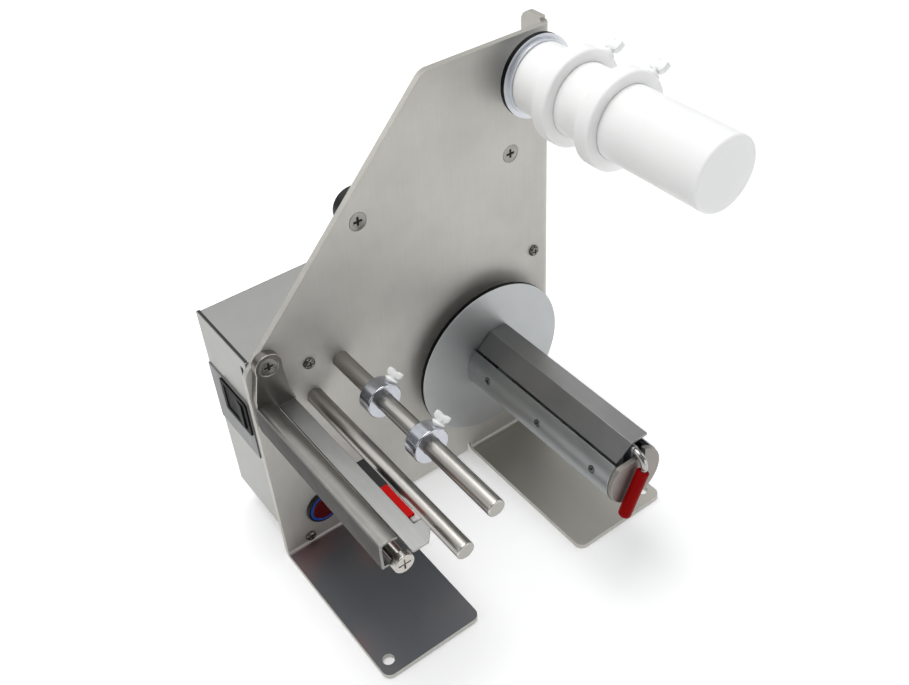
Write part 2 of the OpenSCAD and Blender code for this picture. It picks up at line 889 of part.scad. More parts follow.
module circuit_board() {
    color("#1f5b36") difference() {
        upright(board_y0, board_y1)
            polygon(box_points(board_x, board_z, board_x + board_w, board_z + board_h));
        at_board_corners() bar_y(0, 0, standoff_pin_d, board_y0 - cut, board_y1 + cut);
    }
    mid_z = board_z + board_h / 2;
    x1 = board_x + 2 * part_gap + standoff_d;
    color("#24262b") bar_y(x1, mid_z, capacitor_d, board_y0 - capacitor_l, board_y0);
    x2 = x1 + capacitor_d / 2 + part_gap;
    color("#2c5fa8") upright(board_y0 - relay_t, board_y0)
        polygon(box_points(x2, mid_z - relay_h / 2, x2 + relay_w, mid_z + relay_h / 2));
    x3 = x2 + relay_w + part_gap;
    color("#1a1a1a") upright(board_y0 - chip_t, board_y0)
        polygon(box_points(x3, mid_z - chip_h / 2, x3 + chip_w, mid_z + chip_h / 2));
    color("#e8e4d6") upright(board_y0 - plug_t, board_y0)
        polygon(box_points(x2, board_z, x2 + plug_w, board_z + plug_h));
}

// GEAR MOTOR

module gearbox() color("#9a9c9e") difference() {
    upright(plate_t, plate_t + gearbox_t) polygon(rounded(box_points(
        spindle_x - gearbox_w / 2, spindle_z - gearbox_w / 2,
        spindle_x + gearbox_w / 2, spindle_z + motor_rise + motor_d / 2 + bracket_t), even(gearbox_corner_r)));
    bar_y(spindle_x, spindle_z, output_d + 2 * run_fit, plate_t - cut, plate_t + gearbox_bore_l);
    at_motor_screws() bar_y(0, 0, motor_screw_d, plate_t - cut, plate_t + motor_screw_l);
}

module at_motor_screws()
    for (x = [-motor_screw_pitch / 2, motor_screw_pitch / 2])
        for (z = [-motor_screw_pitch / 2, motor_screw_pitch / 2])
            translate([spindle_x + x, 0, spindle_z + z]) children();

module motor_can() color("#6f7276") {
    x1 = spindle_x - gearbox_w / 2;
    translate([x1 - motor_l, motor_y, spindle_z + motor_rise]) rotate([0, 90, 0])
        cylinder(d = motor_d, h = motor_l);
    translate([x1 - motor_l - motor_cap_l, motor_y, spindle_z + motor_rise]) rotate([0, 90, 0])
        cylinder(d = motor_cap_d, h = motor_cap_l + cut);
}

module motor_screws() color("#c9c7c0") at_motor_screws()
    facing_user(0, 0, 0) pan_screw(motor_head_d, motor_head_h, motor_screw_d, plate_t + motor_screw_l - cut);

// DRIVE SHAFT AND SLIP CLUTCH

module output_shaft() color("#c4c4c4")
    bar_y(spindle_x, spindle_z, output_d, shaft_back_y - output_grip, plate_t + output_back);

module spindle_bushing() color("#b08d57") difference() {
    union() {
        bar_y(spindle_x, spindle_z, bushing_d, 0, plate_t);
        bar_y(spindle_x, spindle_z, bushing_flange_d, -bushing_flange_t, 0);
    }
    bar_y(spindle_x, spindle_z, spindle_d + 2 * run_fit, -bushing_flange_t - cut, plate_t + cut);
}

module spindle_shaft() color("#cfcfcd") difference() {
    bar_y(spindle_x, spindle_z, spindle_d, core_front_y + spindle_front_gap, shaft_back_y);
    bar_y(spindle_x, spindle_z, output_d, shaft_back_y - output_grip, shaft_back_y + cut);
}

module clutch_plate() color("#9c9ea0") difference() {
    union() {
        bar_y(spindle_x, spindle_z, clutch_plate_d, clutch_plate_y, clutch_plate_y + clutch_plate_t);
        bar_y(spindle_x, spindle_z, clutch_hub_d, clutch_plate_y, -bushing_flange_t - seat_gap);
    }
    bar_y(spindle_x, spindle_z, spindle_d, clutch_plate_y - cut, cut);
}

module clutch_felt() color("#8a8172") difference() {
    bar_y(spindle_x, spindle_z, clutch_plate_d, felt_front_y, clutch_plate_y);
    bar_y(spindle_x, spindle_z, spindle_d, felt_front_y - cut, cut);
}

module clutch_springs() color("#8e9196")
    for (i = [0:spring_count - 1])
        turned_y(spindle_x, spindle_z, disc_front_y - seat_gap - i * spring_pitch) {
            low = i % 2 == 0 ? 0 : spring_cone;
            polygon([
                [spindle_d / 2, low], [spring_d / 2, spring_cone - low],
                [spring_d / 2, spring_cone - low + spring_t], [spindle_d / 2, low + spring_t]
            ]);
        }

module clutch_nut() color("#bdbdb8") {
    y1 = disc_front_y - seat_gap - spring_count * spring_pitch;
    difference() {
        translate([spindle_x, y1, spindle_z]) rotate([90, 0, 0])
            cylinder(d = clutch_nut_w / cos(30), h = clutch_nut_t, $fn = 6);
        bar_y(spindle_x, spindle_z, spindle_d, y1 - clutch_nut_t - cut, y1 + cut);
    }
}

// WINDING CORE

module at_spindle() translate([spindle_x, 0, spindle_z]) children();

module rewind_disc() color("#c8c9c8") difference() {
    turned_y(spindle_x, spindle_z, -disc_gap)
        polygon(rounded(box_points(0, 0, disc_d / 2, disc_t), [0, felt_t / 2, felt_t / 2, 0]));
    bar_y(spindle_x, spindle_z, spindle_d + 2 * run_fit, disc_front_y - cut, 0);
}

module core_body() color("#8b8d8e") at_spindle() {
    difference() {
        bar_y(0, 0, 2 * core_ri, core_front_y, disc_front_y);
        bar_y(0, 0, spindle_d + 2 * run_fit, core_front_y - cut, disc_front_y + cut);
        bar_y(0, 0, core_recess_d, disc_front_y - core_recess_l, disc_front_y + cut);
        translate([-core_ri, core_front_y - cut, core_flat_z])
            cube([2 * core_ri, core_l + 2 * cut, core_ri]);
        at_legs() translate([leg_x - leg_gap, -leg_w / 2 - leg_gap, leg_low_z - wedge_drop - leg_gap])
            cube([leg_t + 2 * leg_gap, leg_w + 2 * leg_gap, core_ri]);
        at_core_screws() translate([0, 0, -core_screw_l]) cylinder(d = core_screw_d, h = core_screw_l + cut);
    }
    for (y = [disc_front_y - bearing_in, core_front_y + bearing_w])
        difference() {
            upright(y - bearing_w, y) {
                translate([lever_x, lever_z]) circle(eye_r);
                polygon(box_points(lever_x - eye_r, core_flat_z, lever_x + eye_r, lever_z));
            }
            bar_y(lever_x, lever_z, lever_d + 2 * run_fit, y - bearing_w - cut, y + cut);
        }
}

// The middle of each guide leg of the wedge plate
module at_legs()
    for (y = [wedge_back_y - leg_in - leg_w / 2, wedge_front_y + leg_in + leg_w / 2])
        translate([0, y, 0]) children();

// The three screws of the shell, their heads on its outside
module at_core_screws()
    for (y = [disc_front_y - core_screw_back,
              (disc_front_y - core_screw_back + core_front_y + core_screw_front) / 2,
              core_front_y + core_screw_front])
        rotate([0, -core_screw_angle, 0])
            translate([shell_d / 2, y, 0]) rotate([0, 90, 0]) children();

module core_shell() color("#aeb0b0") at_spindle() difference() {
    upright(core_front_y, disc_front_y) difference() {
        circle(d = shell_d);
        circle(core_ri);
        polygon([
            [0, 0],
            [shell_d * cos(shell_open_right), shell_d * sin(shell_open_right)],
            [0, shell_d / cos(shell_open_left - 90)],
            [shell_d * cos(shell_open_left), shell_d * sin(shell_open_left)]
        ]);
    }
    at_core_screws() {
        translate([0, 0, -shell_t - cut]) cylinder(d = core_screw_d + 2 * screw_fit, h = shell_t + 2 * cut);
        translate([0, 0, -core_head_h]) cylinder(d = core_head_d + 2 * screw_fit, h = core_head_h + cut);
    }
}

module core_screws() color("#3a3b3d") at_spindle() at_core_screws()
    translate([0, 0, -core_head_h]) pan_screw(core_head_d, core_head_h, core_screw_d, core_screw_l - core_head_h);

module core_end_plate() color("#bfc0bf") at_spindle() difference() {
    turned_y(0, 0, core_front_y) polygon(rounded(
        box_points(0, 0, end_plate_d / 2, end_plate_t), [0, 0, end_plate_edge, 0]));
    translate([-end_plate_d, end_front_y - cut, end_notch_z])
        cube([end_plate_d + end_notch_x, end_plate_t + 2 * cut, end_plate_d]);
}

// WEDGE PLATE AND LEVER

module wedge_plate() color("#7d7e80") at_spindle() {
    slope = atan2(wedge_top_z - wedge_left_z, wedge_ridge_x - wedge_left_x);
    inner = [wedge_ridge_x + wedge_t * tan(slope / 2), wedge_top_z - wedge_t];
    upright(wedge_front_y, wedge_back_y) polygon([
        [wedge_right_x, wedge_top_z],
        [wedge_ridge_x, wedge_top_z],
        [wedge_left_x, wedge_left_z],
        [wedge_left_x + wedge_t * sin(slope), wedge_left_z - wedge_t * cos(slope)],
        inner,
        [wedge_right_x, wedge_top_z - wedge_t]
    ]);
    mid_z = wedge_left_z - wedge_t / cos(slope) / 2;
    at_legs() upright(-leg_w / 2, leg_w / 2) polygon([
        [leg_x, leg_low_z],
        [leg_x + leg_t, leg_low_z],
        [leg_x + leg_t, mid_z + (leg_x + leg_t - wedge_left_x) * tan(slope)],
        [leg_x, mid_z + (leg_x - wedge_left_x) * tan(slope)]
    ]);
}

module release_lever() color("#b8b9ba") at_spindle() {
    bend_y = lever_y + lever_bend_r;
    bar_y(lever_x, lever_z, lever_d, bend_y, disc_front_y - bearing_in);
    translate([lever_x, bend_y, lever_z - lever_bend_r]) rotate([180, -90, 0])
        rotate_extrude(angle = 90) translate([lever_bend_r, 0]) circle(d = lever_d);
    for (y = [cam_back, cam_front])
        bar_y(lever_x, lever_z + cam_off, lever_d, disc_front_y - y, disc_front_y - y + cam_w);
    kink_z = lever_z - lever_bend_r - lever_drop;
    translate([lever_x, lever_y, kink_z]) {
        cylinder(d = lever_d, h = lever_drop);
        sphere(d = lever_d);
        rotate([0, 180 + lever_kink, 0]) cylinder(d = lever_d, h = lever_tail);
    }
}

module lever_grip() color("#a01212") at_spindle()
    translate([lever_x, lever_y, lever_z - lever_bend_r - lever_drop]) rotate([0, 180 + lever_kink, 0])
        difference() {
            translate([0, 0, grip_from]) rotate_extrude() polygon(rounded(
                box_points(0, 0, grip_d / 2, grip_l), [0, grip_lip_r, grip_end_r, 0]));
            translate([0, 0, grip_from - cut]) cylinder(d = lever_d, h = lever_tail - grip_from + cut);
        }

// SUPPLY HUB

module hub_axle() color("#c0c0be") difference() {
    union() {
        bar_y(supply_x, supply_z, axle_d, hub_front_y + hub_front_wall + seat_gap, 0);
        bar_y(supply_x, supply_z, axle_thread_d, 0, plate_t + axle_washer_t + axle_nut_h + axle_tail);
    }
    translate([0, hub_back_y - hub_screw_in, 0]) difference() {
        bar_y(supply_x, supply_z, axle_d + cut, -axle_groove_w / 2, axle_groove_w / 2);
        bar_y(supply_x, supply_z, axle_d - 2 * axle_groove_deep, -axle_groove_w, axle_groove_w);
    }
}

module axle_nut() color("#b7b5af") {
    y1 = plate_t + axle_washer_t;
    difference() {
        bar_y(supply_x, supply_z, axle_washer_d, plate_t, y1);
        bar_y(supply_x, supply_z, axle_thread_d, plate_t - cut, y1 + cut);
    }
    difference() {
        translate([supply_x, y1 + axle_nut_h, supply_z]) rotate([90, 0, 0])
            cylinder(d = axle_nut_w / cos(30), h = axle_nut_h, $fn = 6);
        bar_y(supply_x, supply_z, axle_thread_d, y1 - cut, y1 + axle_nut_h + cut);
    }
}

module hub_backing_disc() color("#8d8f90") difference() {
    union() {
        bar_y(supply_x, supply_z, backing_core_d, -backing_gap, 0);
        bar_y(supply_x, supply_z, backing_d, -backing_gap - backing_t, -backing_gap);
        bar_y(supply_x, supply_z, backing_boss_d, hub_back_y + seat_gap, -backing_gap - backing_t);
    }
    bar_y(supply_x, supply_z, axle_d, hub_back_y, cut);
}

module supply_hub() color("#f2f2ee") difference() {
    turned_y(supply_x, supply_z, hub_back_y) polygon(rounded(
        box_points(0, 0, hub_d / 2, hub_l), [0, 0, hub_edge_r, 0]));
    bar_y(supply_x, supply_z, axle_d + 2 * run_fit, hub_front_y + hub_front_wall, hub_back_y + cut);
    at_hub_screw() cylinder(d = hub_screw_d, h = hub_d);
}

// The grub screw under the hub, whose tip runs in the axle's groove
module at_hub_screw()
    translate([supply_x, hub_back_y - hub_screw_in, supply_z]) rotate([180, 0, 0]) children();

module hub_grub_screw() color("#58595b") at_hub_screw() {
    tip = axle_d / 2 - axle_groove_deep + seat_gap;
    translate([0, 0, tip]) cylinder(d = hub_screw_d, h = hub_d / 2 - hub_screw_sink - tip);
}

// A ring with a radial thumbscrew: back is the distance of its rear face from the plate
module clamp_ring(x, z, bore_d, outer_d, w, edge_r, back, angle)
    difference() {
        turned_y(x, z, -back) polygon(rounded(
            box_points(bore_d / 2 - cut, 0, outer_d / 2, w), [0, edge_r, edge_r, 0]));
        bar_y(x, z, bore_d, -back - w - cut, -back + cut);
        at_thumb(x, z, back, w, angle) cylinder(d = thumb_d + 2 * run_fit, h = outer_d);
    }

module at_thumb(x, z, back, w, angle)
    translate([x, -back - w / 2, z]) rotate([0, 90 - angle, 0]) children();

// Its wing is wing_w wide, wing_h high and turned by the angle aside
module thumbscrew(bore_d, neck_r, wing_w, wing_h, wing_t, aside) {
    translate([0, 0, bore_d / 2 + seat_gap]) cylinder(d = thumb_d, h = neck_r - bore_d / 2 - seat_gap);
    translate([0, 0, neck_r - wing_t / 2]) rotate([90, 0, 90 + aside])
        translate([0, 0, -wing_t / 2]) linear_extrude(wing_t) polygon(rounded(
            box_points(-wing_w / 2, 0, wing_w / 2, wing_h + wing_t / 2), even(wing_t / 2)));
}

module ring_thumbscrew()
    thumbscrew(hub_bore, ring_d / 2 + thumb_neck, thumb_wing_w, thumb_wing_h, thumb_wing_t, 0);
module collar_thumbscrew()
    thumbscrew(collar_bore, collar_d / 2 + collar_neck, collar_wing_w, collar_wing_h, thumb_d, collar_wing_turn);

module rear_ring() color("#f4f4f1")
    clamp_ring(supply_x, supply_z, hub_bore, ring_d, ring_w, ring_edge_r, rear_ring_y, ring_thumb_angle);
module front_ring() color("#f4f4f1")
    clamp_ring(supply_x, supply_z, hub_bore, ring_d, ring_w, ring_edge_r, front_ring_y, ring_thumb_angle);
module rear_ring_screw() color("#e4e4e0")
    at_thumb(supply_x, supply_z, rear_ring_y, ring_w, ring_thumb_angle) ring_thumbscrew();
module front_ring_screw() color("#e4e4e0")
    at_thumb(supply_x, supply_z, front_ring_y, ring_w, ring_thumb_angle) ring_thumbscrew();

// GUIDE RODS AND COLLARS

module guide_rod(x, z)
    difference() {
        turned_y(x, z, 0) polygon(rounded(box_points(0, 0, rod_d / 2, rod_l), [0, 0, rod_chamfer, 0]));
        bar_y(x, z, rod_screw_d, -rod_screw_l, cut);
    }

module guide_rod_a() color("#b4b5b5") guide_rod(rod_a_x, rod_a_z);
module guide_rod_b() color("#b4b5b5") guide_rod(rod_b_x, rod_b_z);

module rod_screws() color("#6e7072")
    for (p = [[rod_a_x, rod_a_z], [rod_b_x, rod_b_z]])
        difference() {
            union() {
                bar_y(p.x, p.y, rod_screw_d, -rod_screw_l + cut, plate_t);
                bar_y(p.x, p.y, rod_head_d, plate_t, plate_t + rod_head_h);
            }
            translate([p.x, plate_t + rod_head_h + cut, p.y]) rotate([90, 0, 0])
                cylinder(d = rod_key_w / cos(30), h = rod_key_deep + cut, $fn = 6);
        }

module rear_collar() color("#f4f4f1")
    clamp_ring(rod_b_x, rod_b_z, collar_bore, collar_d, collar_w, collar_edge_r, rear_collar_y, collar_thumb_angle);
module front_collar() color("#f4f4f1")
    clamp_ring(rod_b_x, rod_b_z, collar_bore, collar_d, collar_w, collar_edge_r, front_collar_y, collar_thumb_angle);
module rear_collar_screw() color("#e4e4e0")
    at_thumb(rod_b_x, rod_b_z, rear_collar_y, collar_w, collar_thumb_angle) collar_thumbscrew();
module front_collar_screw() color("#e4e4e0")
    at_thumb(rod_b_x, rod_b_z, front_collar_y, collar_w, collar_thumb_angle) collar_thumbscrew();

// PEELING EDGE

module peel_bracket() color("#9c9a94") difference() {
    upright(-bracket_deep, 0) {
        translate([bracket_top_x, bracket_top_z]) circle(bracket_top_r);
        neck_z = bracket_top_z - bracket_neck_z;
        half = sqrt(bracket_top_r * bracket_top_r - bracket_neck_z * bracket_neck_z);
        polygon([
            [bracket_left_x, channel_low_z],
            [bracket_low_x, channel_low_z],
            [bracket_low_x, bracket_low_z],
            [bracket_step_x, bracket_low_z],
            [bracket_step_x, shelf_z],
            [bracket_right_x, shelf_z],
            [bracket_shoulder_x, bracket_shoulder_z],
            [bracket_top_x + half, neck_z],
            [bracket_top_x - half, neck_z],
            [bracket_left_x, bracket_shoulder_z]
        ]);
    }
    bar_y(bracket_top_x, bracket_top_z, csk_shank_d + 2 * screw_fit, -bracket_deep - cut, cut);
    facing_user(bracket_top_x, -bracket_deep, bracket_top_z) translate([0, 0, -csk_head_h])
        cylinder(d1 = csk_shank_d + 2 * screw_fit, d2 = csk_head_d + 2 * screw_fit, h = csk_head_h);
    bar_y(roller_x, roller_z, roller_pin_d, -bracket_deep - cut, cut);
}

module peel_channel() color("#a8a7a3") upright(-bracket_deep - channel_l, -bracket_deep) polygon([
    [channel_x, channel_low_z],
    [channel_x + channel_low_w, channel_low_z],
    [channel_x + channel_low_w, channel_low_z + channel_t],
    [channel_x + channel_t, channel_low_z + channel_t],
    [channel_x + channel_t, channel_z - channel_t],
    [channel_x + channel_top_w, channel_z - channel_t],
    [channel_x + channel_top_w, channel_z],
    [channel_x, channel_z]
]);

module peel_shelf() color("#a6a5a1") flat(shelf_low_z, shelf_z) polygon(rounded([
        [shelf_x, 0],
        [shelf_x, -shelf_l],
        [shelf_x + shelf_w + shelf_tab_w - shelf_chamfer_w, -shelf_l],
        [shelf_x + shelf_w + shelf_tab_w, -shelf_l + shelf_chamfer_l],
        [shelf_x + shelf_w + shelf_tab_w, -shelf_l + shelf_tab_l],
        [shelf_x + shelf_w, -shelf_l + shelf_tab_l],
        [shelf_x + shelf_w, 0]
    ], [0, shelf_corner_r, shelf_corner_r, shelf_corner_r, 0, 0, 0]));

module peel_roller() color("#c6c6c2") difference() {
    bar_y(roller_x, roller_z, roller_d, roller_front_y + seat_gap, -bracket_deep - seat_gap);
    bar_y(roller_x, roller_z, roller_pin_d + 2 * run_fit, roller_front_y, -bracket_deep);
}

module roller_screw() color("#b9b8b4") {
    difference() {
        union() {
            turned_y(roller_x, roller_z, roller_front_y) polygon(rounded(
                box_points(0, 0, roller_head_d / 2, roller_head_h), [0, 0, roller_head_r, 0]));
            bar_y(roller_x, roller_z, roller_pin_d, roller_front_y, 0);
        }
        facing_user(roller_x, roller_front_y - roller_head_h, roller_z) cross_recess(roller_head_d);
    }
}

module countersunk_screws() color("#cfcdc6") {
    for (p = [handle_screw_left, handle_screw_right])
        facing_user(p.x, 0, p.y) csk_screw(csk_shank_l);
    facing_user(bracket_top_x, -bracket_deep, bracket_top_z) csk_screw(bracket_deep + plate_t);
}

module sensor_body() color("#141416") upright(-sensor_y - sensor_l, -sensor_y) polygon([
    [sensor_x, sensor_top_z],
    [sensor_x, shelf_low_z - sensor_gap],
    [sensor_x - sensor_jaw_w, shelf_low_z - sensor_gap],
    [sensor_x - sensor_jaw_w, shelf_low_z - sensor_gap - sensor_jaw_h],
    [sensor_x, sensor_top_z - sensor_h],
    [sensor_x + sensor_w, sensor_top_z - sensor_h],
    [sensor_x + sensor_w, sensor_top_z]
]);

module sensor_lens() color("#b01218")
    translate([sensor_x, -sensor_y - sensor_l - lens_l, sensor_top_z - lens_h])
        cube([lens_w, lens_l, lens_h]);

// PUSH BUTTON

module button_housing() color("#1b1b1d") {
    difference() {
        union() {
            turned_y(button_x, button_z, 0) polygon(rounded(
                box_points(0, 0, button_bezel_d / 2, button_bezel_t), [0, 0, button_edge_r, 0]));
            bar_y(button_x, button_z, button_barrel_d, 0, button_barrel_l);
        }
        bar_y(button_x, button_z, button_ring_d, -button_bezel_t - cut, -button_bezel_t + button_ring_t);
        bar_y(button_x, button_z, button_cap_d + 2 * button_fit, -button_bezel_t - cut, button_room);
    }
    difference() {
        bar_y(button_x, button_z, button_nut_d, plate_t, plate_t + button_nut_h);
        bar_y(button_x, button_z, button_barrel_d, plate_t - cut, plate_t + button_nut_h + cut);
    }
}

module button_ring() color("#2b45b8") difference() {
    bar_y(button_x, button_z, button_ring_d, -button_bezel_t, -button_bezel_t + button_ring_t);
    bar_y(button_x, button_z, button_cap_d + 2 * button_fit, -button_bezel_t - cut, cut);
}

module button_cap() color("#7a1622")
    turned_y(button_x, button_z, -button_bezel_t - button_cap_out + button_cap_l) polygon(rounded(
        box_points(0, 0, button_cap_d / 2, button_cap_l), [0, 0, button_edge_r, 0]));

// CARRYING HANDLE

module carrying_handle() color("#1b1b1d") {
    x0 = handle_screw_left.x - handle_end_over;
    x1 = handle_screw_right.x + handle_end_over;
    z = handle_screw_left.y;
    back = plate_t + handle_depth;
    difference() {
        intersection() {
            upright(plate_t, back) {
                translate([x0 + handle_end_r, z]) circle(handle_end_r);
                translate([x1 - handle_end_r, z]) circle(handle_end_r);
                translate([x0 + handle_end_r, z - handle_end_r])
                    square([x1 - x0 - 2 * handle_end_r, 2 * handle_end_r]);
            }
            flat(z - 2 * handle_end_r, z + 2 * handle_end_r) polygon([
                [x0, plate_t],
                [x0, plate_t + handle_end_d],
                [x0 + handle_shoulder, plate_t + handle_end_d],
                [x0 + handle_rise_x, back],
                [x1 - handle_rise_x, back],
                [x1 - handle_shoulder, plate_t + handle_end_d],
                [x1, plate_t + handle_end_d],
                [x1, plate_t],
                [x1 - handle_foot_l, plate_t],
                [x1 - handle_rise_x, back - handle_bar_t],
                [x0 + handle_rise_x, back - handle_bar_t],
                [x0 + handle_foot_l, plate_t]
            ]);
        }
        for (p = [handle_screw_left, handle_screw_right])
            bar_y(p.x, p.y, csk_shank_d, plate_t - cut, plate_t + handle_hole_l);
    }
}

placed() side_plate();
placed() box_cover();
placed() left_panel();
placed() right_panel();
placed() control_plate();
placed() box_brackets();
placed() plate_screws();
placed() rear_feet();
placed() box_screws();
placed() rocker_housing();
placed() rocker();
placed() power_socket();
placed() circuit_board();
placed() board_standoffs();
placed() gearbox();
placed() motor_can();
placed() motor_screws();
placed() output_shaft();
placed() spindle_bushing();
placed() spindle_shaft();
placed() clutch_plate();
placed() clutch_felt();
placed() clutch_springs();
placed() clutch_nut();
placed() rewind_disc();
placed() core_body();
placed() core_shell();
placed() core_end_plate();
placed() core_screws();
placed() wedge_plate();
placed() release_lever();
placed() lever_grip();
placed() hub_axle();
placed() axle_nut();
placed() hub_backing_disc();
placed() supply_hub();
placed() hub_grub_screw();
placed() rear_ring();
placed() rear_ring_screw();
placed() front_ring();
placed() front_ring_screw();
placed() guide_rod_a();
placed() guide_rod_b();
placed() rod_screws();
placed() rear_collar();
placed() rear_collar_screw();
placed() front_collar();
placed() front_collar_screw();
placed() peel_bracket();
placed() peel_shelf();
placed() peel_channel();
placed() peel_roller();
placed() roller_screw();
placed() countersunk_screws();
placed() sensor_body();
placed() sensor_lens();
placed() button_housing();
placed() button_ring();
placed() button_cap();
placed() carrying_handle();
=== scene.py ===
import math

import bmesh
import bpy
from mathutils import Matrix, Vector


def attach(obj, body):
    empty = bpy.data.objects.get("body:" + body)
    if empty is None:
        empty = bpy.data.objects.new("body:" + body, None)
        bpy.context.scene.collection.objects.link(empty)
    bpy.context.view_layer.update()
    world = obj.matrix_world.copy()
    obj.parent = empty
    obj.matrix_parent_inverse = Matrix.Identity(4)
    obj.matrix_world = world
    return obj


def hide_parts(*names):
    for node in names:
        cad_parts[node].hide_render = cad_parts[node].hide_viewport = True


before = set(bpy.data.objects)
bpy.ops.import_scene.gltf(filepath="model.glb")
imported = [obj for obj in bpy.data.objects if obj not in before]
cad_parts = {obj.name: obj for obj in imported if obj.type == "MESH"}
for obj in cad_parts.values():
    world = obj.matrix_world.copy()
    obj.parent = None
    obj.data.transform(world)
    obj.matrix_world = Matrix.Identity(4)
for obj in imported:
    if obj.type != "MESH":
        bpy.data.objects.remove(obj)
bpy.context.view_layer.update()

# Blender's lengths are metres, in the row frame. The plate's left edge and front face in it:
MM = 0.001
PLATE_LEFT = -0.1093355
PLATE_FRONT = 0.04125


def at(x, y, z):
    """A place given in mm from the plate's left edge, its front face and the table."""
    return Vector((PLATE_LEFT + x * MM, PLATE_FRONT + y * MM, z * MM))


# Shader helpers

def new_material(name):
    mat = bpy.data.materials.new(name)
    mat.use_nodes = True
    tree = mat.node_tree
    return mat, tree.nodes, tree.links, tree.nodes["Principled BSDF"]


def noise(nodes, links, scale, detail=3.0, rough=0.5, stretch=(1, 1, 1)):
    """Noise in object coordinates, in cycles per metre, stretched by axis."""
    coord = nodes.new("ShaderNodeTexCoord")
    mapping = nodes.new("ShaderNodeMapping")
    mapping.inputs["Scale"].default_value = [scale * share for share in stretch]
    tex = nodes.new("ShaderNodeTexNoise")
    tex.inputs["Scale"].default_value = 1.0
    tex.inputs["Detail"].default_value = detail
    tex.inputs["Roughness"].default_value = rough
    links.new(coord.outputs["Object"], mapping.inputs["Vector"])
    links.new(mapping.outputs["Vector"], tex.inputs["Vector"])
    return tex.outputs["Fac"]


def ramp(nodes, links, value, low, high, from_low=0.3, from_high=0.7):
    """Maps a value between from_low and from_high to one between low and high, clamped."""
    stretched = nodes.new("ShaderNodeMapRange")
    stretched.inputs["From Min"].default_value = from_low
    stretched.inputs["From Max"].default_value = from_high
    stretched.inputs["To Min"].default_value = low
    stretched.inputs["To Max"].default_value = high
    links.new(value, stretched.inputs["Value"])
    return stretched.outputs["Result"]


def joined(nodes, links, operation, a, b):
    """The sum, product or maximum of two values."""
    both = nodes.new("ShaderNodeMath")
    both.operation = operation
    links.new(a, both.inputs[0])
    links.new(b, both.inputs[1])
    return both.outputs[0]


def colours(nodes, links, value, stops):
    """A colour ramp; stops are pairs of a position and a colour, from low to high."""
    band = nodes.new("ShaderNodeValToRGB")
    elements = band.color_ramp.elements
    for element, (position, colour) in ((elements[0], stops[0]), (elements[1], stops[-1])):
        element.position = position
        element.color = (*colour, 1)
    for position, colour in stops[1:-1]:
        elements.new(position).color = (*colour, 1)
    links.new(value, band.inputs["Fac"])
    return band.outputs["Color"]


def mixed(nodes, links, a, b, share, blend="MIX"):
    """Two colours mixed; each of a, b and share is a value or a socket."""
    mix = nodes.new("ShaderNodeMix")
    mix.data_type = "RGBA"
    mix.blend_type = blend
    for key, value in (("A", a), ("B", b), ("Factor", share)):
        kind = "VALUE" if key == "Factor" else "RGBA"
        socket = next(s for s in mix.inputs if s.name == key and s.type == kind)
        if hasattr(value, "is_output"):
            links.new(value, socket)
        elif key == "Factor":
            socket.default_value = value
        else:
            socket.default_value = (*value, 1)
    return next(s for s in mix.outputs if s.type == "RGBA")


def edge_mask(nodes, links, radius):
    """1 on the edges of a solid, 0 on its flats, and the normal rounded over the edges."""
    bevel = nodes.new("ShaderNodeBevel")
    bevel.samples = 6
    bevel.inputs["Radius"].default_value = radius
    geometry = nodes.new("ShaderNodeNewGeometry")
    dot = nodes.new("ShaderNodeVectorMath")
    dot.operation = "DOT_PRODUCT"
    links.new(bevel.outputs["Normal"], dot.inputs[0])
    links.new(geometry.outputs["Normal"], dot.inputs[1])
    mask = ramp(nodes, links, dot.outputs["Value"], 1.0, 0.0, 0.86, 0.995)
    return mask, bevel.outputs["Normal"]


def facing(nodes, links, direction, low, high):
    """1 on the faces of a piece that look along direction, 0 on the rest."""
    coord = nodes.new("ShaderNodeTexCoord")
    dot = nodes.new("ShaderNodeVectorMath")
    dot.operation = "DOT_PRODUCT"
    dot.inputs[1].default_value = direction
    links.new(coord.outputs["Normal"], dot.inputs[0])
    return ramp(nodes, links, dot.outputs["Value"], 0.0, 1.0, low, high)


def place_along(nodes, links, axis):
    """Where a point of the surface lies along one axis of the frame."""
    coord = nodes.new("ShaderNodeTexCoord")
    apart = nodes.new("ShaderNodeSeparateXYZ")
    links.new(coord.outputs["Object"], apart.inputs[0])
    return apart.outputs[axis]


def bumped(nodes, links, height, strength, distance, normal=None):
    bump = nodes.new("ShaderNodeBump")
    bump.inputs["Strength"].default_value = strength
    bump.inputs["Distance"].default_value = distance
    links.new(height, bump.inputs["Height"])
    if normal is not None:
        links.new(normal, bump.inputs["Normal"])
    return bump.outputs["Normal"]


def scaled(colour, k):
    return tuple(c * k for c in colour)


# The two families of materials. Grain depths and edge radii are in mm. A grain direction has a
# small share along the axis where its streaks are long

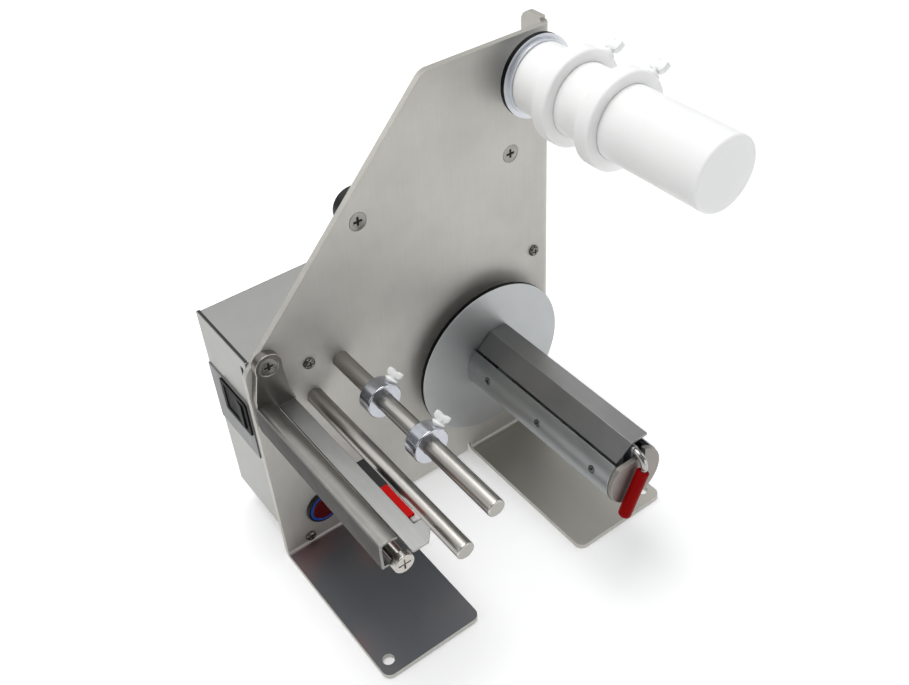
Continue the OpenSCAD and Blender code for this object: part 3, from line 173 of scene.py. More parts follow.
def metal(name, colour, rough, spread=0.06, grain=(1, 1, 1), grain_scale=1500, grain_depth=0.02,
          grain_strength=0.25, cloud=0.08, edge=0.3, edge_light=1.25, stretch_along=None, aniso=0.0,
          mottle=55, fleck=0.10):
    """A bare metal: fine grain, cloudy wear, and lighter edges, partly wear and partly a painted
    highlight.
    """
    mat, nodes, links, bsdf = new_material(name)
    bsdf.inputs["Metallic"].default_value = 1.0
    streak = noise(nodes, links, grain_scale, 2.0, 0.55, grain)
    clouds = noise(nodes, links, mottle, 4.0, 0.6)
    base = colours(nodes, links, clouds, [(0.25, scaled(colour, 1 - cloud)),
                                          (0.75, scaled(colour, 1 + cloud * 0.5))])
    fine = colours(nodes, links, streak, [(0.2, (1 - fleck, 1 - fleck, 1 - fleck)),
                                          (0.8, (1.0, 1.0, 1.0))])
    base = mixed(nodes, links, base, fine, 1.0, "MULTIPLY")
    rounded_normal = None
    if edge:
        mask, rounded_normal = edge_mask(nodes, links, edge * MM)
        base = mixed(nodes, links, base, scaled(colour, edge_light), mask)
    links.new(base, bsdf.inputs["Base Color"])
    smear = noise(nodes, links, mottle * 0.45, 5.0, 0.65, (1, 1, 0.6))
    fine_rough = ramp(nodes, links, streak, rough - spread / 2, rough + spread / 2)
    wide_rough = ramp(nodes, links, smear, -spread / 3, spread / 2)
    links.new(joined(nodes, links, "ADD", fine_rough, wide_rough), bsdf.inputs["Roughness"])
    if grain_strength:
        normal = bumped(nodes, links, streak, grain_strength, grain_depth * MM, rounded_normal)
        links.new(normal, bsdf.inputs["Normal"])
    if aniso:
        bsdf.inputs["Anisotropic"].default_value = aniso
        geometry = nodes.new("ShaderNodeNewGeometry")
        cross = nodes.new("ShaderNodeVectorMath")
        cross.operation = "CROSS_PRODUCT"
        cross.inputs[1].default_value = stretch_along
        links.new(geometry.outputs["Normal"], cross.inputs[0])
        links.new(cross.outputs["Vector"], bsdf.inputs["Tangent"])
    return mat


def plastic(name, colour, rough, spread=0.08, grain_scale=2500, grain_depth=0.03,
            grain_strength=0.3, sss=0.0, edge=0.3, edge_light=1.3, cloud=0.06, coat=0.0, gloss=0.5):
    """A moulded or turned plastic: fine texture, faint mottling, and lighter edges, partly wear and
    partly a painted highlight.
    """
    mat, nodes, links, bsdf = new_material(name)
    clouds = noise(nodes, links, 90, 4.0, 0.6)
    base = colours(nodes, links, clouds, [(0.3, scaled(colour, 1 - cloud)),
                                          (0.7, scaled(colour, 1 + cloud * 0.6))])
    mask, rounded_normal = edge_mask(nodes, links, edge * MM)
    light = tuple(min(1.0, c * edge_light + 0.004) for c in colour)
    links.new(mixed(nodes, links, base, light, mask), bsdf.inputs["Base Color"])
    grain = noise(nodes, links, grain_scale, 3.0, 0.6)
    patches = noise(nodes, links, 160, 3.0)
    links.new(ramp(nodes, links, patches, rough - spread / 2, rough + spread / 2),
              bsdf.inputs["Roughness"])
    normal = bumped(nodes, links, grain, grain_strength, grain_depth * MM, rounded_normal)
    links.new(normal, bsdf.inputs["Normal"])
    bsdf.inputs["Specular IOR Level"].default_value = gloss
    if sss:
        bsdf.inputs["Subsurface Weight"].default_value = sss
        bsdf.inputs["Subsurface Radius"].default_value = (1.0, 0.95, 0.9)
        bsdf.inputs["Subsurface Scale"].default_value = 3.5 * MM
    if coat:
        bsdf.inputs["Coat Weight"].default_value = coat
        bsdf.inputs["Coat Roughness"].default_value = 0.12
    return mat


# Sheet metal. The grain runs up the plate and along the feet, so glints spread across it. No
# flat face of the machine is square to these two directions, so each one gets a tangent
ACROSS_X = (0.0, 1.0, 1.0)
ALONG_Y = (0.9, 0.12, 0.5)
STEEL = (0.61, 0.594, 0.554)
# A darker tone of the same steel, painted shade for what faces up
FOOT_PAINTED_SHADE = (0.50, 0.487, 0.445)
plate_steel = metal("brushed_plate", STEEL, rough=0.52, spread=0.08, grain=(1, 0.01, 0.01),
                    grain_scale=3200, grain_depth=0.01, grain_strength=0.12, edge=0.4,
                    edge_light=1.5, stretch_along=ACROSS_X, aniso=0.7, mottle=38)
sheet_steel = metal("brushed_sheet", (0.435, 0.433, 0.416), rough=0.36, spread=0.08,
                    grain=(0.01, 1, 1), grain_scale=3000, grain_depth=0.01, grain_strength=0.12,
                    cloud=0.06, edge=0.4, edge_light=1.3, stretch_along=ACROSS_X, aniso=0.6,
                    mottle=30)
control_grey = plastic("satin_grey_paint", (0.20, 0.205, 0.205), rough=0.42, grain_scale=1400,
                       grain_depth=0.02)
peel_steel = metal("peel_steel", (0.37, 0.37, 0.36), rough=0.34, spread=0.03, grain=(1, 0.05, 1),
                   grain_scale=900, grain_depth=0.01, grain_strength=0.02, edge_light=1.6,
                   stretch_along=ALONG_Y, aniso=0.3)
channel_steel = metal("channel_steel", (0.285, 0.28, 0.262), rough=0.30, spread=0.03,
                      grain=(1, 0.05, 1), grain_scale=900, grain_depth=0.01, grain_strength=0.02,
                      cloud=0.10, edge_light=1.5, stretch_along=ALONG_Y, aniso=0.3)
# The bracket's much lighter edges are mostly a painted highlight along its rim
bracket_steel = metal("bracket_steel", (0.25, 0.24, 0.22), rough=0.34, spread=0.10,
                      grain=(1, 1, 0.02), grain_scale=2600, grain_depth=0.01, grain_strength=0.08,
                      cloud=0.20, edge=0.8, edge_light=3.0)

# Turned, drawn and cast metal
rod_polish = metal("polished_rod", (0.64, 0.62, 0.58), rough=0.30, spread=0.02,
                   grain=(1, 0.03, 1), grain_scale=300, grain_strength=0.0, cloud=0.04, edge=0,
                   fleck=0.015)
collar_metal = metal("polished_collar", (0.56, 0.575, 0.62), rough=0.22, grain=(0.2, 1, 0.2),
                     grain_depth=0.01, grain_strength=0.05, cloud=0.12, edge=0.5)
disc_alloy = metal("turned_disc", (0.515, 0.53, 0.53), rough=0.46, spread=0.05, grain_scale=3000,
                   grain_depth=0.01, grain_strength=0.15, cloud=0.04, edge_light=1.2)
shell_alloy = metal("shell_alloy", (0.345, 0.36, 0.36), rough=0.40, grain=(1, 0.03, 1),
                    grain_scale=2600, grain_depth=0.01, grain_strength=0.08, cloud=0.05)
core_alloy = metal("core_alloy", (0.42, 0.43, 0.44), rough=0.38, spread=0.08)
backing_alloy = metal("backing_alloy", (0.78, 0.80, 0.84), rough=0.45, grain_scale=2600,
                      grain_depth=0.01, grain_strength=0.15)
wedge_grey = metal("wedge_grey", (0.325, 0.323, 0.32), rough=0.34, spread=0.08,
                   grain=(1, 0.012, 1), grain_scale=2600, grain_depth=0.01, grain_strength=0.12,
                   cloud=0.06, edge=0.4, edge_light=1.7, stretch_along=ALONG_Y, aniso=0.4)
end_alloy = metal("end_alloy", (0.36, 0.335, 0.312), rough=0.55, spread=0.10, grain_scale=1800,
                  cloud=0.15)
lever_steel = metal("lever_steel", (0.50, 0.49, 0.47), rough=0.26, spread=0.08,
                    grain=(1, 1, 0.05), grain_scale=2600, grain_depth=0.01, grain_strength=0.2,
                    cloud=0.12)
shaft_steel = metal("shaft_steel", (0.60, 0.60, 0.60), rough=0.25)
gear_alloy = metal("cast_alloy", (0.50, 0.505, 0.51), rough=0.48, spread=0.12, grain_scale=500,
                   grain_depth=0.2, grain_strength=0.4)
motor_steel = metal("motor_steel", (0.38, 0.39, 0.41), rough=0.34)
bronze = metal("sintered_bronze", (0.55, 0.37, 0.18), rough=0.42, spread=0.12, grain_scale=900,
               grain_depth=0.1, grain_strength=0.4)
spring_steel = metal("spring_steel", (0.40, 0.41, 0.43), rough=0.30)

# Screws
bright_screw = metal("bright_screw", (0.52, 0.50, 0.46), rough=0.26, spread=0.10,
                     grain_scale=2200, grain_strength=0.3, cloud=0.15)
dark_screw = metal("dark_pan_screw", (0.20, 0.19, 0.17), rough=0.24, spread=0.12,
                   grain_depth=0.03, grain_strength=0.3, cloud=0.3, edge=0.2, edge_light=2.6)
sunk_screw = metal("sunk_screw", (0.34, 0.33, 0.30), rough=0.30, spread=0.10, grain_depth=0.03,
                   grain_strength=0.3, cloud=0.3, edge=0.2, edge_light=1.6)
black_screw = metal("black_screw", (0.16, 0.165, 0.17), rough=0.28, spread=0.10,
                    grain_depth=0.03, grain_strength=0.3, cloud=0.2, edge_light=2.2)
# Painted shade for the hollows of the screw recesses
recess_painted_shade = plastic("recess_painted_shade", (0.016, 0.015, 0.014), rough=0.6, gloss=0.2)

# Plastics, rubber, felt and paint
nylon = plastic("white_nylon", (0.965, 0.965, 0.95), rough=0.40, grain_scale=1800,
                grain_depth=0.02, grain_strength=0.12, sss=0.35, edge=1.2, edge_light=1.0,
                cloud=0.012, gloss=0.35)
screw_nylon = plastic("white_screw_nylon", (0.93, 0.935, 0.92), rough=0.36, grain_scale=1800,
                      grain_depth=0.02, grain_strength=0.15, sss=0.35, edge=0.5, edge_light=1.0,
                      cloud=0.02, gloss=0.4)
grip_red = plastic("red_grip", (0.28, 0.001, 0.001), rough=0.42, spread=0.10, grain_scale=1500,
                   grain_depth=0.05, grain_strength=0.25, sss=0.05, edge=0.4, edge_light=1.15,
                   cloud=0.16, gloss=0.05)
switch_black = plastic("switch_black", (0.006, 0.006, 0.006), rough=0.55, grain_scale=2600,
                       grain_depth=0.02, gloss=0.10)
socket_black = plastic("socket_black", (0.02, 0.02, 0.022), rough=0.35)
rubber_black = plastic("rubber_black", (0.022, 0.022, 0.024), rough=0.62, spread=0.12,
                       grain_scale=1500, grain_depth=0.08, grain_strength=0.5)
handle_black = plastic("handle_black", (0.012, 0.012, 0.013), rough=0.42, spread=0.12,
                       grain_scale=1200, grain_depth=0.10, grain_strength=0.5, gloss=0.35)
sensor_black = plastic("sensor_black", (0.008, 0.008, 0.009), rough=0.45, gloss=0.3)
sensor_red = plastic("sensor_red", (0.47, 0.001, 0.001), rough=0.45, spread=0.06,
                     grain_scale=1500, grain_strength=0.2, sss=0.05, gloss=0.08)
button_black = plastic("button_black", (0.010, 0.010, 0.011), rough=0.30, gloss=0.35)
button_blue = plastic("button_blue", (0.012, 0.075, 0.42), rough=0.28, gloss=0.3)
button_red = plastic("button_red", (0.075, 0.002, 0.003), rough=0.26, gloss=0.3)
board_green = plastic("board_green", (0.03, 0.16, 0.07), rough=0.35, coat=0.3)
white_plastic = plastic("white_plastic", (0.72, 0.72, 0.70), rough=0.45)
# Painted shade for the outside of the peel channel's web
web_painted_shade = plastic("painted_shade_web", (0.055, 0.051, 0.047), rough=0.5, gloss=0.12)
felt = plastic("pressed_felt", (0.42, 0.38, 0.31), rough=0.9, spread=0.1, grain_scale=1800,
               grain_depth=0.3, grain_strength=0.9)


def window_clear():
    """The clear strip of the sensor."""
    mat, nodes, links, bsdf = new_material("clear_strip")
    fog = noise(nodes, links, 400, 3.0)
    tint = colours(nodes, links, fog, [(0.3, (0.72, 0.68, 0.66)), (0.7, (0.84, 0.80, 0.78))])
    links.new(tint, bsdf.inputs["Base Color"])
    links.new(ramp(nodes, links, fog, 0.16, 0.3), bsdf.inputs["Roughness"])
    bsdf.inputs["Transmission Weight"].default_value = 0.45
    bsdf.inputs["IOR"].default_value = 1.49
    return mat


clear_strip = window_clear()


# Painted shade, light and reflections, laid over parts of the finished materials, and a satin front

def repaint(mat, colour, mask_of):
    """Lays a second colour over a finished material where the mask is 1."""
    nodes, links = mat.node_tree.nodes, mat.node_tree.links
    base = nodes["Principled BSDF"].inputs["Base Color"]
    under = base.links[0].from_socket
    over = colour(nodes, links) if callable(colour) else colour
    links.new(mixed(nodes, links, under, over, mask_of(nodes, links)), base)


def satin_front(mat, share):
    """Turns part of the mirror into a soft sheen on the faces that look at the user."""
    nodes, links = mat.node_tree.nodes, mat.node_tree.links
    front = facing(nodes, links, (0.0, -1.0, 0.0), 0.80, 0.99)
    links.new(ramp(nodes, links, front, 1.0, share, 0.0, 1.0),
              nodes["Principled BSDF"].inputs["Metallic"])


def rim_only(nodes, links):
    """1 on the rim of a disc that turns about Y, 0 on its faces."""
    front = facing(nodes, links, (0.0, -1.0, 0.0), 0.3, 0.7)
    back = facing(nodes, links, (0.0, 1.0, 0.0), 0.3, 0.7)
    faces = joined(nodes, links, "MAXIMUM", front, back)
    return ramp(nodes, links, faces, 1.0, 0.0, 0.0, 1.0)


# The disc of the hub's backing lies this far before the plate, with a little room on both sides
BACKING_DISC_NEAR = PLATE_FRONT - 12.7 * MM
BACKING_DISC_FAR = PLATE_FRONT - 9.2 * MM
BACKING_FADE = 0.45 * MM


def backing_rim(nodes, links):
    """The rim of the hub's backing disc, but not its bosses before and behind it."""
    y = place_along(nodes, links, "Y")
    beyond_boss = ramp(nodes, links, y, 0.0, 1.0, BACKING_DISC_NEAR, BACKING_DISC_NEAR + BACKING_FADE)
    before_boss = ramp(nodes, links, y, 1.0, 0.0, BACKING_DISC_FAR - BACKING_FADE, BACKING_DISC_FAR)
    disc = joined(nodes, links, "MULTIPLY", beyond_boss, before_boss)
    return joined(nodes, links, "MULTIPLY", disc, rim_only(nodes, links))


def silhouette(nodes, links):
    """1 where a round bar turns away from the viewer, 0 where it faces the viewer."""
    weight = nodes.new("ShaderNodeLayerWeight")
    weight.inputs["Blend"].default_value = 0.5
    return ramp(nodes, links, weight.outputs["Facing"], 0.0, 1.0, 0.22, 0.80)


def upper_faces(nodes, links):
    """1 on what faces up."""
    return facing(nodes, links, (0.0, 0.0, 1.0), 0.60, 0.99)


# The left foot's inner edge lies within this stretch
LEFT_FOOT_FADE = (PLATE_LEFT + 65 * MM, PLATE_LEFT + 85 * MM)


def on_the_left_foot(nodes, links):
    """1 on what faces up at the plate's left end."""
    left = ramp(nodes, links, place_along(nodes, links, "X"), 1.0, 0.0, *LEFT_FOOT_FADE)
    up = facing(nodes, links, (0.0, 0.0, 1.0), 0.80, 0.99)
    return joined(nodes, links, "MULTIPLY", left, up)


def painted_reflection_patches(nodes, links):
    """Wide patches of painted reflection, bluish grey with a hint of red."""
    patches = noise(nodes, links, 17, 1.0, 0.4)
    return colours(nodes, links, patches, [(0.38, (0.17, 0.18, 0.20)), (0.52, (0.20, 0.20, 0.21)),
                                           (0.64, (0.30, 0.20, 0.205))])


def wedge_top(nodes, links):
    """1 on the upper face of the folded plate on the winding core."""
    return facing(nodes, links, (0.45, 0.0, 0.893), 0.93, 0.99)


# Colours of painted shade, painted reflection and painted light
RIM_PAINTED_SHADE = (0.012, 0.012, 0.012)
ROD_PAINTED_DARK_EDGE = (0.10, 0.095, 0.088)
WEDGE_TOP_PAINTED_LIGHT = (0.60, 0.595, 0.585)
SATIN_SHARE = 0.60
satin_front(plate_steel, SATIN_SHARE)
# Painted shade: what faces up on the plate, mainly the feet, is darker to stand in for the dim
# surroundings it reflects
repaint(plate_steel, FOOT_PAINTED_SHADE, upper_faces)
# Painted reflection: bluish and reddish patches on the left foot stand in for the surroundings it
# mirrors
repaint(plate_steel, painted_reflection_patches, on_the_left_foot)
# Painted reflection: the guide rods and the peel roller darken where they turn away from the viewer
repaint(rod_polish, ROD_PAINTED_DARK_EDGE, silhouette)
# Painted shade: the rims of the rewind disc and of the hub's backing disc are near black
repaint(disc_alloy, RIM_PAINTED_SHADE, rim_only)
repaint(backing_alloy, RIM_PAINTED_SHADE, backing_rim)
# Painted light: the upper face of the folded plate on the winding core is lighter than its steep face
repaint(wedge_grey, WEDGE_TOP_PAINTED_LIGHT, wedge_top)

NODE_MATERIALS = {
    plate_steel: ["side_plate"],
    sheet_steel: ["box_cover", "left_panel", "right_panel", "box_brackets"],
    control_grey: ["control_plate"],
    bright_screw: ["box_screws", "motor_screws", "roller_screw", "axle_nut"],
    dark_screw: ["plate_screws"],
    sunk_screw: ["countersunk_screws"],
    rubber_black: ["rear_feet"],
    switch_black: ["rocker_housing", "rocker"],
    socket_black: ["power_socket"],
    board_green: ["circuit_board"],
    white_plastic: ["board_standoffs"],
    gear_alloy: ["gearbox"],
    motor_steel: ["motor_can"],
    shaft_steel: ["output_shaft", "spindle_shaft", "hub_axle", "clutch_nut", "clutch_plate"],
    bronze: ["spindle_bushing"],
    felt: ["clutch_felt"],
    spring_steel: ["clutch_springs"],
    disc_alloy: ["rewind_disc"],
    shell_alloy: ["core_shell"],
    end_alloy: ["core_end_plate"],
    core_alloy: ["core_body"],
    backing_alloy: ["hub_backing_disc"],
    wedge_grey: ["wedge_plate"],
    black_screw: ["core_screws", "hub_grub_screw", "rod_screws"],
    lever_steel: ["release_lever"],
    grip_red: ["lever_grip"],
    nylon: ["supply_hub", "rear_ring", "front_ring"],
    collar_metal: ["rear_collar", "front_collar"],
    screw_nylon: ["rear_ring_screw", "front_ring_screw", "rear_collar_screw", "front_collar_screw"],
    rod_polish: ["guide_rod_a", "guide_rod_b", "peel_roller"],
    peel_steel: ["peel_shelf", "peel_channel"],
    bracket_steel: ["peel_bracket"],
    sensor_black: ["sensor_body"],
    sensor_red: ["sensor_lens"],
    button_black: ["button_housing"],
    button_blue: ["button_ring"],
    button_red: ["button_cap"],
    handle_black: ["carrying_handle"],
}
for material, names in NODE_MATERIALS.items():
    for name in names:
        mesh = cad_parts[name].data
        mesh.materials.clear()
        mesh.materials.append(material)


# Camera: found from the plate, the rods and the hub in the photograph

CAMERA_PLACE = Vector((-0.245946, -0.356718, 0.515564))
CAMERA_YAW = math.radians(34.212)
CAMERA_DOWN = math.radians(40.751)
CAMERA_ROLL = math.radians(-3.965)
SENSOR_WIDTH = 36.0
LENS = 41.313
camera_data = bpy.data.cameras.new("camera")
camera_data.sensor_width = SENSOR_WIDTH
camera_data.lens = LENS
camera_data.clip_start = 0.01
camera_data.clip_end = 30.0
camera = bpy.data.objects.new("camera", camera_data)
bpy.context.scene.collection.objects.link(camera)
ahead = Vector((math.sin(CAMERA_YAW) * math.cos(CAMERA_DOWN),
                math.cos(CAMERA_YAW) * math.cos(CAMERA_DOWN),
                -math.sin(CAMERA_DOWN)))
look = ahead.to_track_quat("-Z", "Y").to_matrix().to_4x4()
camera.matrix_world = Matrix.Translation(CAMERA_PLACE) @ look @ Matrix.Rotation(CAMERA_ROLL, 4, "Z")
bpy.context.scene.camera = camera


# Lights, in metres and watts, all aimed at the middle of the machine

MIDDLE = Vector((0.0, -0.05, 0.12))


def area_light(name, place, size, power, colour=(1, 1, 1)):
    data = bpy.data.lights.new(name, "AREA")
    data.shape = "RECTANGLE"
    data.size, data.size_y = size
    data.energy = power
    data.color = colour
    light = bpy.data.objects.new(name, data)
    bpy.context.scene.collection.objects.link(light)
    light.location = place
    light.rotation_mode = "QUATERNION"
    light.rotation_quaternion = (MIDDLE - Vector(place)).to_track_quat("-Z", "Y")


area_light("top_soft", place=(-0.1, 0.2, 1.9), size=(1.5, 1.0), power=24.0)
area_light("right_back_soft", place=(1.2, 0.95, 1.85), size=(1.1, 1.1), power=2.0)
area_light("left_soft", place=(-1.7, 0.3, 0.8), size=(0.9, 0.9), power=4.5, colour=(1.0, 0.99, 0.97))
area_light("right_soft", place=(1.6, -0.5, 0.9), size=(0.8, 1.0), power=4.0, colour=(0.97, 0.99, 1.0))
area_light("front_soft", place=(0.9, -2.2, 0.5), size=(1.6, 0.8), power=9.0)
area_light("back_soft", place=(0.0, 1.75, 1.55), size=(3.4, 1.3), power=12.0)

SKY = (0.93, 0.95, 1.0, 1)
SKY_STRENGTH = 0.18
world = bpy.data.worlds.new("studio")
world.use_nodes = True
background = world.node_tree.nodes["Background"]
background.inputs["Color"].default_value = SKY
background.inputs["Strength"].default_value = SKY_STRENGTH
bpy.context.scene.world = world
bpy.context.scene.view_settings.view_transform = "Standard"


def floor():
    """A pale seamless floor, a hair below the feet."""
    half = 4.0
    hair = 0.1 * MM
    glow = 0.30
    mesh = bpy.data.meshes.new("floor")
    corners = [(-half, -half, 0), (half, -half, 0), (half, half, 0), (-half, half, 0)]
    mesh.from_pydata(corners, [], [(0, 1, 2, 3)])
    obj = bpy.data.objects.new("floor", mesh)
    bpy.context.scene.collection.objects.link(obj)
    mat, nodes, links, bsdf = new_material("pale_floor")
    soft = noise(nodes, links, 6, 4.0)
    pale = colours(nodes, links, soft, [(0.3, (0.90, 0.90, 0.90)), (0.7, (0.92, 0.92, 0.92))])
    links.new(pale, bsdf.inputs["Base Color"])
    bsdf.inputs["Roughness"].default_value = 0.6
    bsdf.inputs["Emission Color"].default_value = (1, 1, 1, 1)
    bsdf.inputs["Emission Strength"].default_value = glow
    mesh.materials.append(mat)
    obj.location.z = -hair


floor()


# Mesh helpers

SHARP = 35
STEEP = math.radians(60)


def finish_piece(name, bm, material, body, sharp=SHARP):
    """Turns a bmesh into a piece that rides on a body."""
    bmesh.ops.remove_doubles(bm, verts=bm.verts, dist=0.001 * MM)
    bmesh.ops.recalc_face_normals(bm, faces=bm.faces)
    mesh = bpy.data.meshes.new(name)
    bm.to_mesh(mesh)
    bm.free()
    mesh.materials.append(material)
    for polygon in mesh.polygons:
        polygon.use_smooth = True
    mesh.set_sharp_from_angle(angle=math.radians(sharp))
    obj = bpy.data.objects.new(name, mesh)
    bpy.context.scene.collection.objects.link(obj)
    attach(obj, body)
    return obj


def prism(bm, outline, to_world):
    """A closed prism: to_world(u, v, end) gives a vertex of the outline for end 0 or 1."""
    ends = [[bm.verts.new(to_world(u, v, end)) for u, v in outline] for end in (0, 1)]
    bm.faces.new(ends[0])
    bm.faces.new(list(reversed(ends[1])))
    for k in range(len(outline)):
        n = (k + 1) % len(outline)
        bm.faces.new([ends[0][n], ends[0][k], ends[1][k], ends[1][n]])


def soften_rims(bm, width, segments):
    """Rounds the edges where two faces meet steeply."""
    bmesh.ops.recalc_face_normals(bm, faces=bm.faces)
    rims = [e for e in bm.edges if len(e.link_faces) == 2 and e.calc_face_angle(0) > STEEP]
    bmesh.ops.bevel(bm, geom=rims, offset=width, segments=segments, affect="EDGES",
                    clamp_overlap=True)


def rounded(outline, radius, steps=4):
    """The outline with each corner turned into an arc; radius is one number or one per corner."""
    count = len(outline)
    radii = radius if isinstance(radius, (list, tuple)) else [radius] * count
    points = []
    for k in range(count):
        here = Vector(outline[k])
        back = (Vector(outline[k - 1]) - here).normalized()
        on = (Vector(outline[(k + 1) % count]) - here).normalized()
        if radii[k] <= 0:
            points.append(tuple(here))
            continue
        half = back.angle(on) / 2
        reach = radii[k] / math.tan(half)
        middle = here + (back + on).normalized() * (radii[k] / math.sin(half))
        first = here + back * reach - middle
        last = here + on * reach - middle
        for step in range(steps + 1):
            spoke = first.lerp(last, step / steps).normalized() * radii[k]
            points.append(tuple(middle + spoke))
    return points


def lathe(bm, profile, centre, axis, side, segments=40):
    """A turned solid: profile gives (radius, height) pairs, closed on the axis at both ends."""
    up = axis.cross(side)
    angles = [2 * math.pi * k / segments for k in range(segments)]
    rings = []
    for radius, height in profile:
        middle = centre + axis * height
        if radius <= 0:
            rings.append([bm.verts.new(middle)])
            continue
        rings.append([bm.verts.new(middle + (side * math.cos(a) + up * math.sin(a)) * radius)
                      for a in angles])
    for low, high in zip(rings, rings[1:]):
        for k in range(segments):
            n = (k + 1) % segments
            if len(low) == 1:
                bm.faces.new([low[0], high[k], high[n]])
            elif len(high) == 1:
                bm.faces.new([low[k], low[n], high[0]])
            else:
                bm.faces.new([low[k], low[n], high[n], high[k]])


# Thumbscrews: a stem in the ring, a shoulder, a neck and two ears. The stem sits in the ring by
# STEM_SUNK, and the ears take in the end of the neck by EAR_LAP
STEM_R = 2.9 * MM
STEM_SUNK = 3 * MM
STEM_OUT = 0.35 * MM
SHOULDER_R = 3.6 * MM
SHOULDER_LOW = 0.5 * MM
SHOULDER_HIGH = 1.2 * MM
NECK_SHARE = 0.8
NECK_LOW = 1.7 * MM
EAR_LAP = 1.0 * MM
EAR_ROOT = 0.30 * MM
EAR_RIM = 0.45 * MM
# The right half of the ears, in shares of half the width and of the height, with corner radii
EAR_SHARES = [(1.0, 0.30), (1.0, 1.0), (0.34, 1.0), (0.16, 0.86)]
EAR_ROOT_SHARE = 0.68
EAR_RADII = [0.5 * MM, 0.8 * MM, 0.7 * MM, 0.4 * MM, 0.3 * MM]


def thumbscrew(name, body, place, angle, ring_r, neck_r, width, height, thick, turn):
    """A winged screw at an angle above the horizontal, its ears turned about its own axis."""
    axis = Vector((math.cos(angle), 0, math.sin(angle)))
    level = Vector((math.sin(angle), 0, -math.cos(angle)))
    wide = Vector((0, 1, 0)) * math.cos(turn) - level * math.sin(turn)
    deep = axis.cross(wide)
    stem = bmesh.new()
    neck = STEM_R * NECK_SHARE
    lathe(stem, [(0, ring_r - STEM_SUNK), (STEM_R, ring_r - STEM_SUNK), (STEM_R, ring_r + STEM_OUT),
                 (SHOULDER_R, ring_r + SHOULDER_LOW), (SHOULDER_R, ring_r + SHOULDER_HIGH),
                 (neck, ring_r + NECK_LOW), (neck, neck_r + EAR_LAP), (0, neck_r + EAR_LAP)],
          place, axis, wide)
    half = width / 2
    right = [(half * EAR_ROOT_SHARE, -EAR_ROOT)] + [(half * u, height * v) for u, v in EAR_SHARES]
    left = [(-u, v) for u, v in reversed(right)]
    outline = rounded(right + left, EAR_RADII + EAR_RADII[::-1])
    ears = bmesh.new()
    prism(ears, outline, lambda u, v, end: (
        place + axis * (neck_r + v) + wide * u + deep * ((end - 0.5) * thick)))
    soften_rims(ears, EAR_RIM, 3)
    part = bpy.data.meshes.new("ears")
    ears.to_mesh(part)
    ears.free()
    stem.from_mesh(part)
    bpy.data.meshes.remove(part)
    piece = finish_piece(name + "_winged", stem, screw_nylon, body)
    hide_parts(name)


# Axes of the hub and of the upper rod, in mm
HUB_X = 190
HUB_Z = 262
ROD_X = 56.5
ROD_Z = 132.5
RING_ANGLE = math.radians(37.7)
COLLAR_ANGLE = math.radians(45)
COLLAR_TURN = math.radians(33)
RING_SCREWS = [("rear_ring_screw", "ring_rear_screw", -42.0),
               ("front_ring_screw", "ring_front_screw", -73.5)]
COLLAR_SCREWS = [("rear_collar_screw", "collar_rear_screw", -40.2),
                 ("front_collar_screw", "collar_front_screw", -82.6)]
for name, body, y in RING_SCREWS:
    thumbscrew(name, body, at(HUB_X, y, HUB_Z), RING_ANGLE, ring_r=26 * MM, neck_r=29 * MM,
               width=9.4 * MM, height=6 * MM, thick=3.4 * MM, turn=0.0)
for name, body, y in COLLAR_SCREWS:
    thumbscrew(name, body, at(ROD_X, y, ROD_Z), COLLAR_ANGLE, ring_r=10.6 * MM, neck_r=13.2 * MM,
               width=8.6 * MM, height=3.6 * MM, thick=3.4 * MM, turn=COLLAR_TURN)


def channel():
    """The channel of the peeling edge, its top flange slightly crowned by the bending."""
    left, low, high, wall = 0.2, 115.0, 132.5, 1.5
    top_w, low_w = 10.4, 5.6
    start, length = 5.0, 118.0
    crown, inner_crown = 0.9, 0.72
    top_steps, inner_steps, corner_steps = 14, 8, 5
    reach = 3
    low_round, high_round = 1.1, 0.8
    side_drop, top_drop = 0.35, 0.2
    clear_of_heel, clear_of_wall = 1.0, 0.8
    inner_left = left + wall

    top = []
    for k in range(top_steps, -1, -1):
        t = k / top_steps
        top.append((left + top_w * (1 - t), high - crown * (2 * t - 1) ** 2))
    top = [p for p in top if p[0] > left + clear_of_heel]
    under = []
    for k in range(inner_steps, -1, -1):
        t = k / inner_steps
        under.append((left + top_w * t, high - wall - inner_crown * (2 * t - 1) ** 2))
    under = [p for p in under if p[0] > inner_left + clear_of_wall]
    inside = [(inner_left, high - wall - clear_of_heel), (inner_left, low + wall)]
    lip = [(left + low_w, low + wall), (left + low_w, low)]
    corner = rounded([(left + reach, low), (left, low), (left, low + reach)],
                     [0, low_round, 0], corner_steps)[1:-1]
    heel = rounded([(left, high - reach), (left, high - side_drop), (left + reach, high - top_drop)],
                   [0, high_round, 0], corner_steps)[1:-1]
    bm = bmesh.new()
    prism(bm, inside + lip + corner + heel + top + under,
          lambda u, v, end: at(u, -start - length * end, v))
    piece = finish_piece("crowned_channel", bm, channel_steel, "frame", 30)
    # The outside of the web gets painted shade, a near-black material of its own
    piece.data.materials.append(web_painted_shade)
    for polygon in piece.data.polygons:
        if polygon.normal.x < -0.95:
            polygon.material_index = 1
    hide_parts("peel_channel")


channel()


def block(name, low, high, corner_r, material, body, edge=0.25):
    """A block between two corners in mm, rounded seen from above, with softened edges."""
    (x0, y0, z0), (x1, y1, z1) = low, high
    bm = bmesh.new()
    corners = [(x0, y1), (x1, y1), (x1, y0), (x0, y0)]
    prism(bm, rounded(corners, corner_r), lambda u, v, end: at(u, v, z0 + (z1 - z0) * end))
    soften_rims(bm, edge * MM, 2)
    finish_piece(name, bm, material, body)


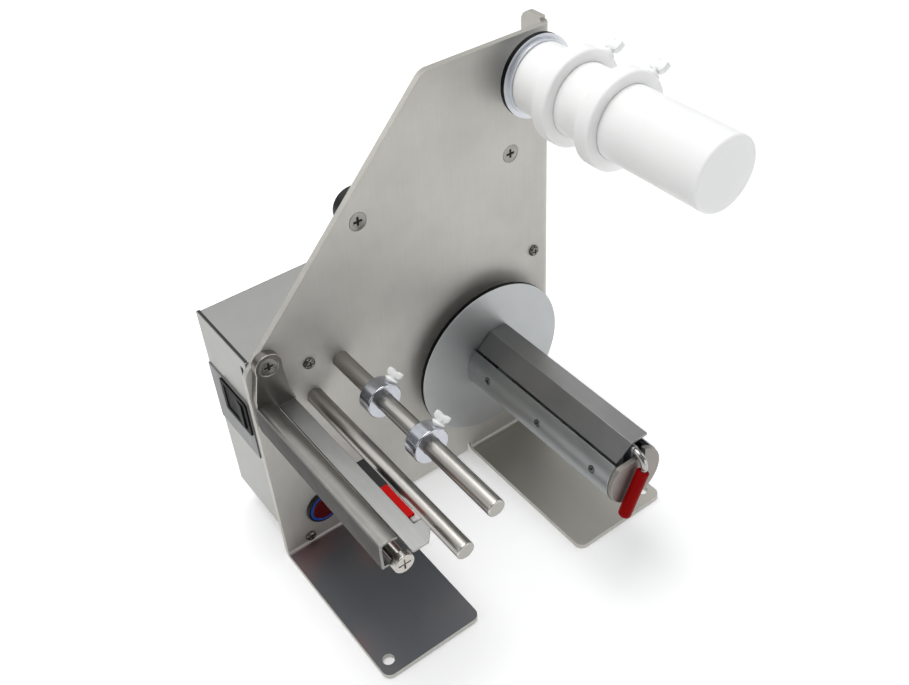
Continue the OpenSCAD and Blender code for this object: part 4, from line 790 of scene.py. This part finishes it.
# The sensor's clear end and the black clip under it, low enough to pass below the shelf's tab
block("sensor_clear_end", (24.7, -115.6, 119.0), (28.9, -107.5, 124.2), 0.8,
      clear_strip, "sensor")
block("sensor_clip", (23.9, -116.9, 118.2), (27.4, -112.6, 123.4), 0.5,
      sensor_black, "sensor")
# A black strip standing in for the shade in the slit between the cover and the left wall of the box
block("cover_slit_shade", (3.5, 4.0, 156.8), (5.1, 60.6, 157.25), 0.4,
      rubber_black, "frame", edge=0.1)


# Screws with a cross recess, looking along -Y. Shares of the recess and of the dark lining of painted
# shade in it
CROSS_SHARE = 0.62
CHAMFER_SHARE = 0.06
FLOOR_SHARE = 0.72
LINING_TOP_SHARE = 0.96
LINING_FLOOR_SHARE = 0.70
LINING_TOP_DEPTH_SHARE = 0.22
LINING_FLOOR_DEPTH_SHARE = 0.95
SCREW_POINTS = 96
QUARTER = math.pi / 2


def cross_radius(angle, arm, waist):
    """The outline of a cross recess: long in four directions, waisted between them."""
    near = abs((angle + QUARTER / 2) % QUARTER - QUARTER / 2)
    return max(waist, min(arm, waist * CROSS_SHARE / max(math.sin(near), 1e-3)))


def joined_rings(bm, loops):
    """Skins a row of rings and closes both ends."""
    for a, b in zip(loops, loops[1:]):
        for k in range(SCREW_POINTS):
            n = (k + 1) % SCREW_POINTS
            bm.faces.new([a[k], a[n], b[n], b[k]])
    bm.faces.new(loops[0])
    bm.faces.new(list(reversed(loops[-1])))


def recessed_screw(bm, dark, place, profile, arm, waist, deep):
    """A screw from its profile of (radius, depth behind the plate's face), tail first, with a recess
    that is lined with a dark shell of painted shade."""
    angles = [2 * math.pi * k / SCREW_POINTS for k in range(SCREW_POINTS)]

    def ring(target, radii, depth):
        return [target.verts.new(place + Vector((r * math.cos(t), depth, r * math.sin(t))))
                for r, t in zip(radii, angles)]

    cross = [cross_radius(t, arm, waist) for t in angles]
    head_r, top = profile[-1]
    loops = [ring(bm, [r] * SCREW_POINTS, depth) for r, depth in profile]
    loops.append(ring(bm, cross, top - (head_r - arm) * CHAMFER_SHARE))
    loops.append(ring(bm, [c * FLOOR_SHARE for c in cross], top + deep))
    joined_rings(bm, loops)
    joined_rings(dark, [
        ring(dark, [c * LINING_TOP_SHARE for c in cross], top + deep * LINING_TOP_DEPTH_SHARE),
        ring(dark, [c * LINING_FLOOR_SHARE for c in cross], top + deep * LINING_FLOOR_DEPTH_SHARE)])


def screw_set(name, places, profile, material, arm, waist, deep):
    """Replaces a node of screws; places and sizes are in mm, the profile runs from tail to head."""
    bm, dark = bmesh.new(), bmesh.new()
    outer = [(r * MM, depth * MM) for r, depth in profile]
    for x, y, z in places:
        recessed_screw(bm, dark, at(x, y, z), outer, arm * MM, waist * MM, deep * MM)
    crossed = finish_piece(name + "_crossed", bm, material, "frame", 25)
    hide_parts(name)
    finish_piece(name + "_recess_shade", dark, recess_painted_shade, "frame", 25)


# Each profile is radius and depth, from the tail's end to the rim of the recess
SUNK = [(2.9, 8.4), (2.9, 2.7), (5.2, 0.5), (5.15, 0.32), (4.8, 0.18)]
DOME = [(2.0, 5.4), (2.0, 0.1), (3.5, 0.0), (3.5, -0.9), (3.3, -1.35), (2.9, -1.75), (2.3, -2.05),
        (2.15, -2.1)]
SUNK_PLACES = [(79.1, 0, 214), (180.4, 0, 214), (12.5, -5, 155)]
DOME_PLACES = [(37.3, 0, 140.3), (196.6, 0, 140.3), (16.7, 0, 9), (193.3, 0, 9)]
screw_set("countersunk_screws", SUNK_PLACES, SUNK, sunk_screw, arm=2.9, waist=1.25, deep=1.3)
screw_set("plate_screws", DOME_PLACES, DOME, dark_screw, arm=2.1, waist=0.75, deep=1.2)
